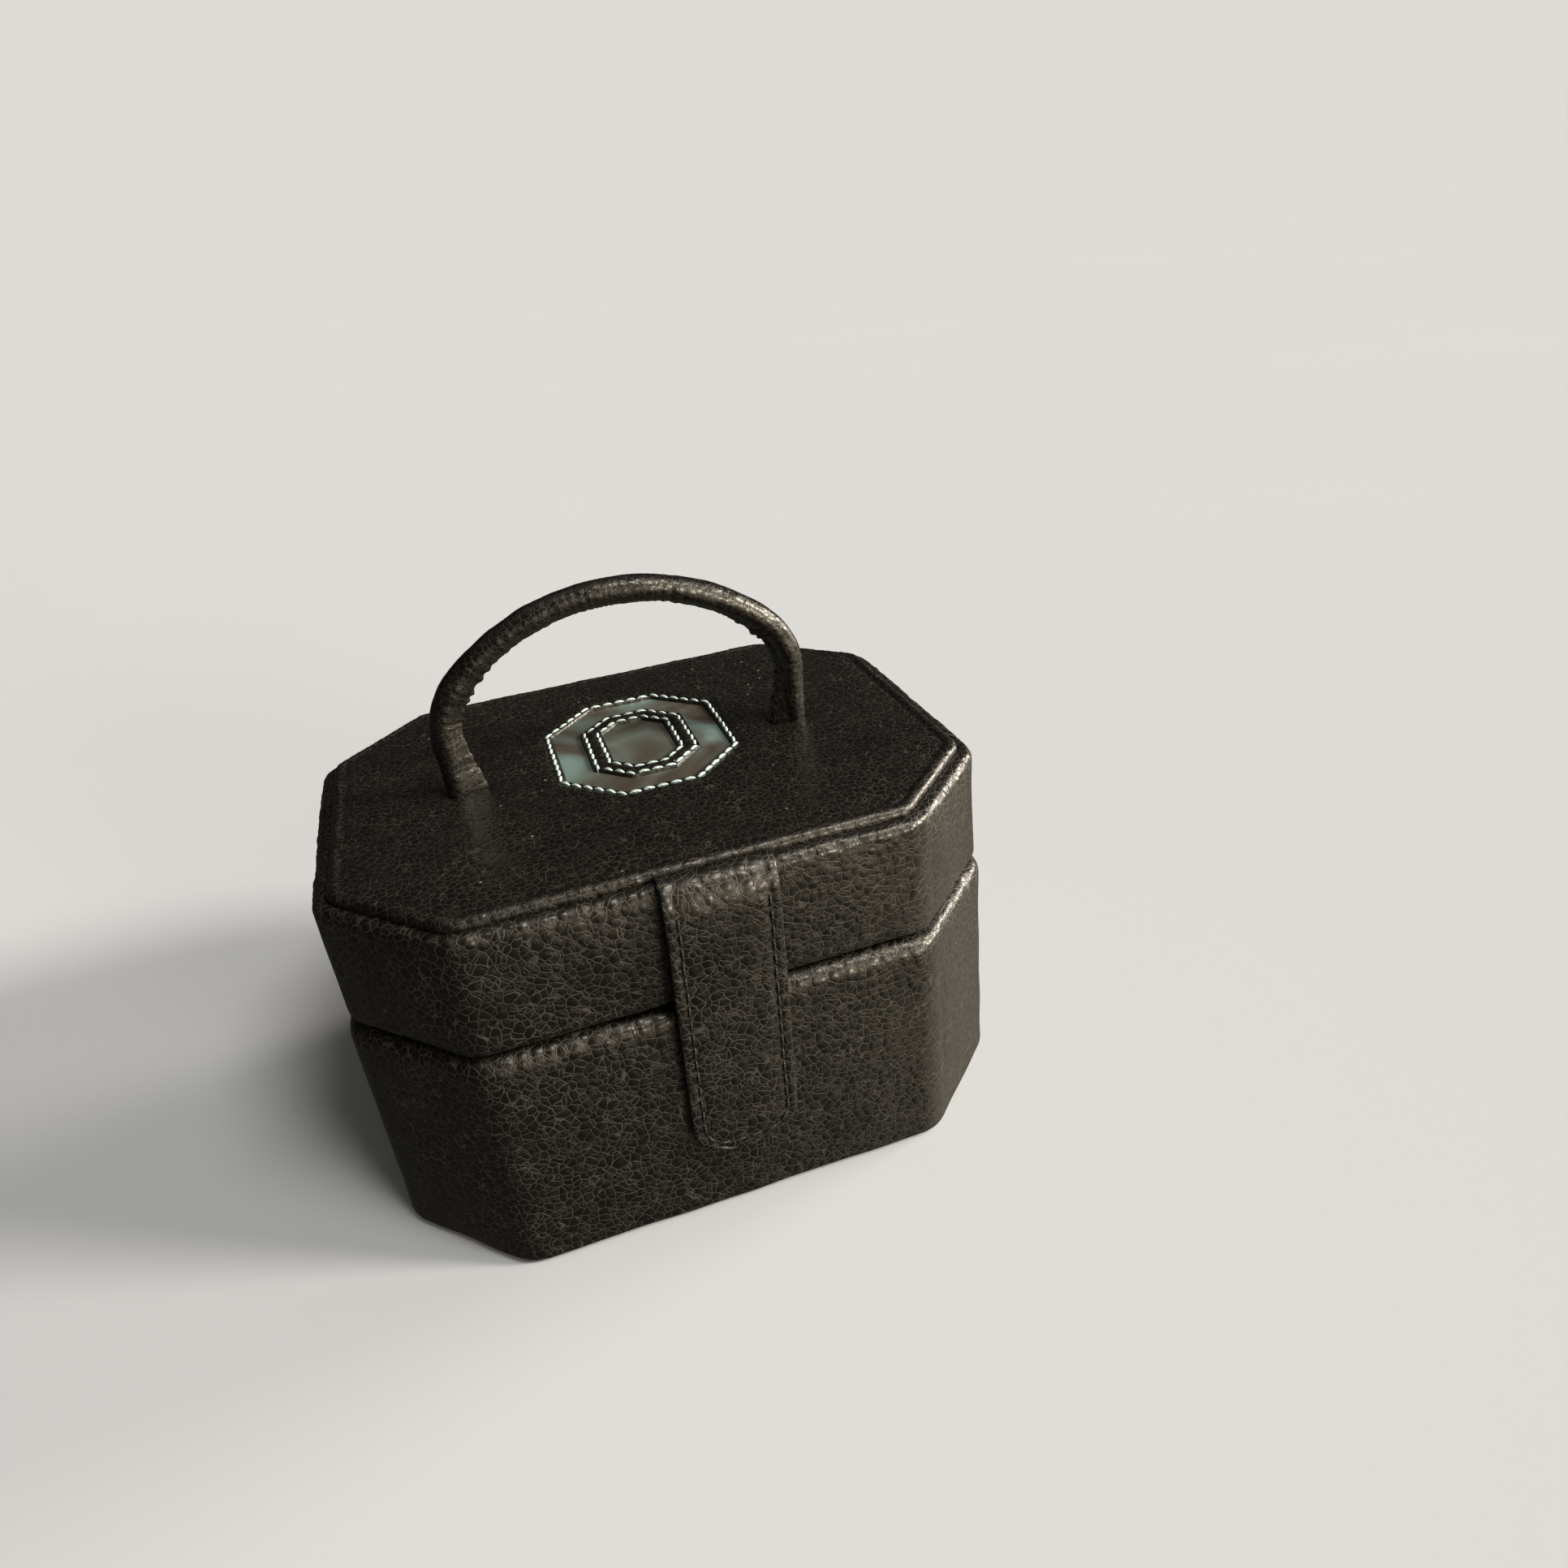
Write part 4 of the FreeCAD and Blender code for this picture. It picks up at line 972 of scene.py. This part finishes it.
def inflate(pads):
    """Fills the pads with a short cloth simulation and keeps each point near where it began."""
    frames, pressure, farthest = 20, 4.0, 0.55 * MM * SIM_SCALE
    scene = bpy.context.scene
    for pad in pads:
        cloth = pad.modifiers.new("cloth", "CLOTH")
        cloth.settings.effector_weights.gravity = 0
        cloth.settings.use_pressure = True
        cloth.settings.uniform_pressure_force = pressure
        cloth.settings.quality = 5
        cloth.point_cache.frame_start = 1
        cloth.point_cache.frame_end = frames
    for number in range(1, frames + 1):
        scene.frame_set(number)
    for pad in pads:
        start = [v.co.copy() for v in pad.data.vertices]
        apply_modifiers(pad)
        for vertex, first in zip(pad.data.vertices, start):
            moved = vertex.co - first
            if moved.length > farthest:
                vertex.co = first + moved.normalized() * farthest
            vertex.co /= SIM_SCALE
    scene.frame_set(1)


def smooth_pad(pad, low, high):
    """One subdivision, and no point outside the room that the pad has."""
    pad.modifiers.new("subdivision", "SUBSURF").levels = 1
    apply_modifiers(pad)
    for vertex in pad.data.vertices:
        for axis in range(3):
            vertex.co[axis] = min(max(vertex.co[axis], low[axis]), high[axis])
    pad.data.polygons.foreach_set("use_smooth", [True] * len(pad.data.polygons))


def soft_pads():
    """Ring rolls and floor pad: velvet over foam, filled by simulation."""
    rolls = [f"ring_roll_{k}" for k in range(1, 5)]
    shrink = Vector((0.45, 0.5, 0.45)) * MM
    pads = [remeshed(node, shrink, 1.5 * MM) for node in rolls]
    thin = Vector((0.3, 0.3, 0.35)) * MM
    pads.append(remeshed("floor_pad", thin, 1.2 * MM))
    inflate(pads)
    for node, pad, fill in zip(rolls + ["floor_pad"], pads, [0.8] * 4 + [0.5]):
        low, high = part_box(node)
        smooth_pad(pad, low, high)
        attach(pad, "base")
        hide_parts(node)


def ceiling():
    """The padded ceiling of the lid and the mirror that lies on it."""
    low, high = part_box("lid_ceiling_pad")
    out = HALF_X - high.x
    glass_low, glass_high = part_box("mirror")
    glass_in = HALF_X - glass_high.x
    band = glass_in - out
    profile = [(out, high.z), (out, low.z + 0.6 * MM)]
    for u in (0.04, 0.1, 0.2, 0.32, 0.44, 0.56, 0.68, 0.8, 0.9, 0.97):
        bulge = 1.5 * MM * math.sin(math.pi * u) ** 0.7
        profile.append((out + band * u, low.z + 0.5 * MM - bulge + 0.3 * MM * u))
    profile += [(glass_in + 0.6 * MM, low.z + 0.1 * MM)]
    loops = [octagon(inset, z, steps=PLAIN_STEPS) for inset, z in profile]
    pad = loft("ceiling_velvet", loops, VELVET, caps=(True, True), sharp=60)
    relax(pad, 7 * MM, 0.12 * MM, 41)
    finish_piece(pad, "lid", "velvet_lining", "lid_ceiling_pad")
    bevel = 0.7 * MM
    profile = [(glass_in, glass_high.z), (glass_in, glass_low.z + 0.5 * MM),
               (glass_in + 0.15 * MM, glass_low.z + 0.35 * MM), (glass_in + bevel * 3, glass_low.z),
               (glass_in + bevel * 3.3, glass_low.z)]
    loops = [octagon(inset, z, steps=PLAIN_STEPS) for inset, z in profile]
    plate = loft("mirror_glass", loops, MIRROR, caps=(True, True), sharp=12)
    finish_piece(plate, "lid", "mirror_glass", "mirror")


def underside():
    """The thin sheet glued under the floor, with its edge softly pressed down."""
    low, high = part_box("base_bottom_cover")
    out = HALF_X - high.x
    profile = [(out, high.z), (out, low.z + 0.3 * MM), (out + 0.2 * MM, low.z + 0.08 * MM),
               (out + 1.2 * MM, low.z + 0.02 * MM), (out + 6 * MM, low.z + 0.05 * MM),
               (out + 16 * MM, low.z)]
    loops = [octagon(inset, z, steps=PLAIN_STEPS) for inset, z in profile]
    sheet = loft("bottom_sheet", loops, SHEET, caps=(True, True), sharp=60)
    finish_piece(sheet, "base", "bottom_sheet", "base_bottom_cover")


# ---------------- stage
FLOOR_LEVEL = -0.02 * MM
FLOOR_RINGS = (0.5, 2.0, 8.0, 40.0)     # metres from the middle
FLOOR_SIDES = 48
BACKDROP = (0.727, 0.708, 0.668)        # the floor's tone, where the camera looks past its edge
# The dim surroundings: light from below, light from above, and (share of the height, level) between.
SKY_BELOW, SKY_ABOVE = (0.07, 0.068, 0.065), (0.4, 0.39, 0.38)
SKY_BANDS = ((0.5, 0.06), (0.64, 0.02), (0.85, 0.03))
# Two soft white cards: the way they lie, the cosines where they begin and are full, and their light.
CARDS = (((0.85, -0.2, -0.45), 0.6, 0.95, (0.9, 0.82, 0.66)),
         ((0.4, -0.91, 0.1), 0.8, 1.0, (2.0, 1.84, 1.52)))
# Name, the way it comes from, its width in degrees, power, share in reflections, and colour.
LAMPS = (("key", (0.88, -0.38, 0.42), 12, 4.3, 0.7, (1.0, 0.94, 0.85)),
         ("side", (0.95, 0.14, 0.22), 20, 3.0, 1.0, (1.0, 0.94, 0.86)),
         ("front", (0.5, -0.86, 0.1), 18, 2.0, 1.0, (1.0, 0.94, 0.84)),
         ("above", (0.35, -0.42, 0.85), 20, 1.8, 0.15, (1.0, 0.98, 0.95)))


def stage_floor():
    """A wide pale floor: a disc of rings that reaches past what the camera sees."""
    turns = [2 * math.pi * k / FLOOR_SIDES for k in range(FLOOR_SIDES)]
    loops = [[Vector((radius * math.cos(turn), radius * math.sin(turn), FLOOR_LEVEL)) for turn in turns]
             for radius in FLOOR_RINGS]
    s = Shader("floor_pale", Roughness=1.0, Specular_IOR_Level=0.0)
    s.link(s.mix(s.noise(s.place(), 3.0), (0.49, 0.5, 0.51), (0.51, 0.52, 0.53)), "Base Color")
    floor = loft("floor", loops, s.material, caps=(True, False))
    floor.visible_glossy = False


def surroundings():
    """Dim light from all round, with two soft white cards in it, and a backdrop for the camera."""
    world = bpy.data.worlds.new("studio")
    bpy.context.scene.world = world
    bpy.context.scene.view_settings.view_transform = "Standard"
    world.use_nodes = True
    w = Nodes(world.node_tree)
    where = w.add("TexCoord").outputs["Generated"]
    upwards = w.add("SeparateXYZ", {0: where}).outputs["Z"]
    height = w.add("MapRange", {"Value": upwards, "From Min": -1.0}).outputs["Result"]
    layers = [(share, (level, level * 0.97, level * 0.93)) for share, level in SKY_BANDS]
    colour = w.bands(height, SKY_BELOW, SKY_ABOVE, *layers)
    for direction, first, last, light in CARDS:
        values = {0: where, 1: Vector(direction).normalized()}
        facing = w.add("VectorMath", values, operation="DOT_PRODUCT").outputs["Value"]
        colour = w.mix(w.ramp(facing, first, last), colour, light)
    soft = w.tree.nodes["Background"]
    w.feed(soft.inputs["Color"], colour)
    w.feed(soft.inputs["Strength"], 0.75)
    backdrop = w.add("Background", {"Color": (*BACKDROP, 1)})
    camera_ray = w.add("LightPath").outputs["Is Camera Ray"]
    chosen = w.add("MixShader", {0: camera_ray, 1: soft.outputs[0], 2: backdrop.outputs[0]})
    w.feed(w.tree.nodes["World Output"].inputs["Surface"], chosen.outputs[0])


def lamps():
    """Warm light from the right and the front, and soft light from above."""
    for name, direction, spread, power, gloss, colour in LAMPS:
        data = bpy.data.lights.new(name, "SUN")
        data.angle = math.radians(spread)
        data.energy = power
        data.specular_factor = gloss
        data.color = colour
        lamp = place_object(name, data)
        lamp.location = Vector(direction)
        lamp.rotation_mode = "QUATERNION"
        lamp.rotation_quaternion = (-Vector(direction)).to_track_quat("-Z", "Y")


def camera():
    """Stands at the front left, a hand's length away, looks down and leans a little to the right."""
    place = Vector((-22.2, -172.8, 148.9)) * MM
    heading, dip, roll = math.radians(15.7), math.radians(28.27), math.radians(6.1)
    level = math.cos(dip)
    forward = Vector((math.sin(heading) * level, math.cos(heading) * level, -math.sin(dip)))
    data = bpy.data.cameras.new("camera")
    data.sensor_width = 36
    data.lens = 25.29
    data.clip_start = 0.01
    data.clip_end = 20
    eye = place_object("camera", data)
    turn = forward.to_track_quat("-Z", "Y").to_matrix().to_4x4()
    eye.matrix_world = Matrix.Translation(place) @ turn @ Matrix.Rotation(-roll, 4, "Z")
    bpy.context.scene.camera = eye


paint_cad_nodes()
base_wall()
lid_wall()
panel()
motif_leather()
motif_foil()
motif_stitches()
clasp_tab()
hinge_strip()
handle()
collar()
lid_lining()
divider("long_divider")
divider("cross_divider")
soft_pads()
ceiling()
underside()
stage_floor()
surroundings()
lamps()
camera()
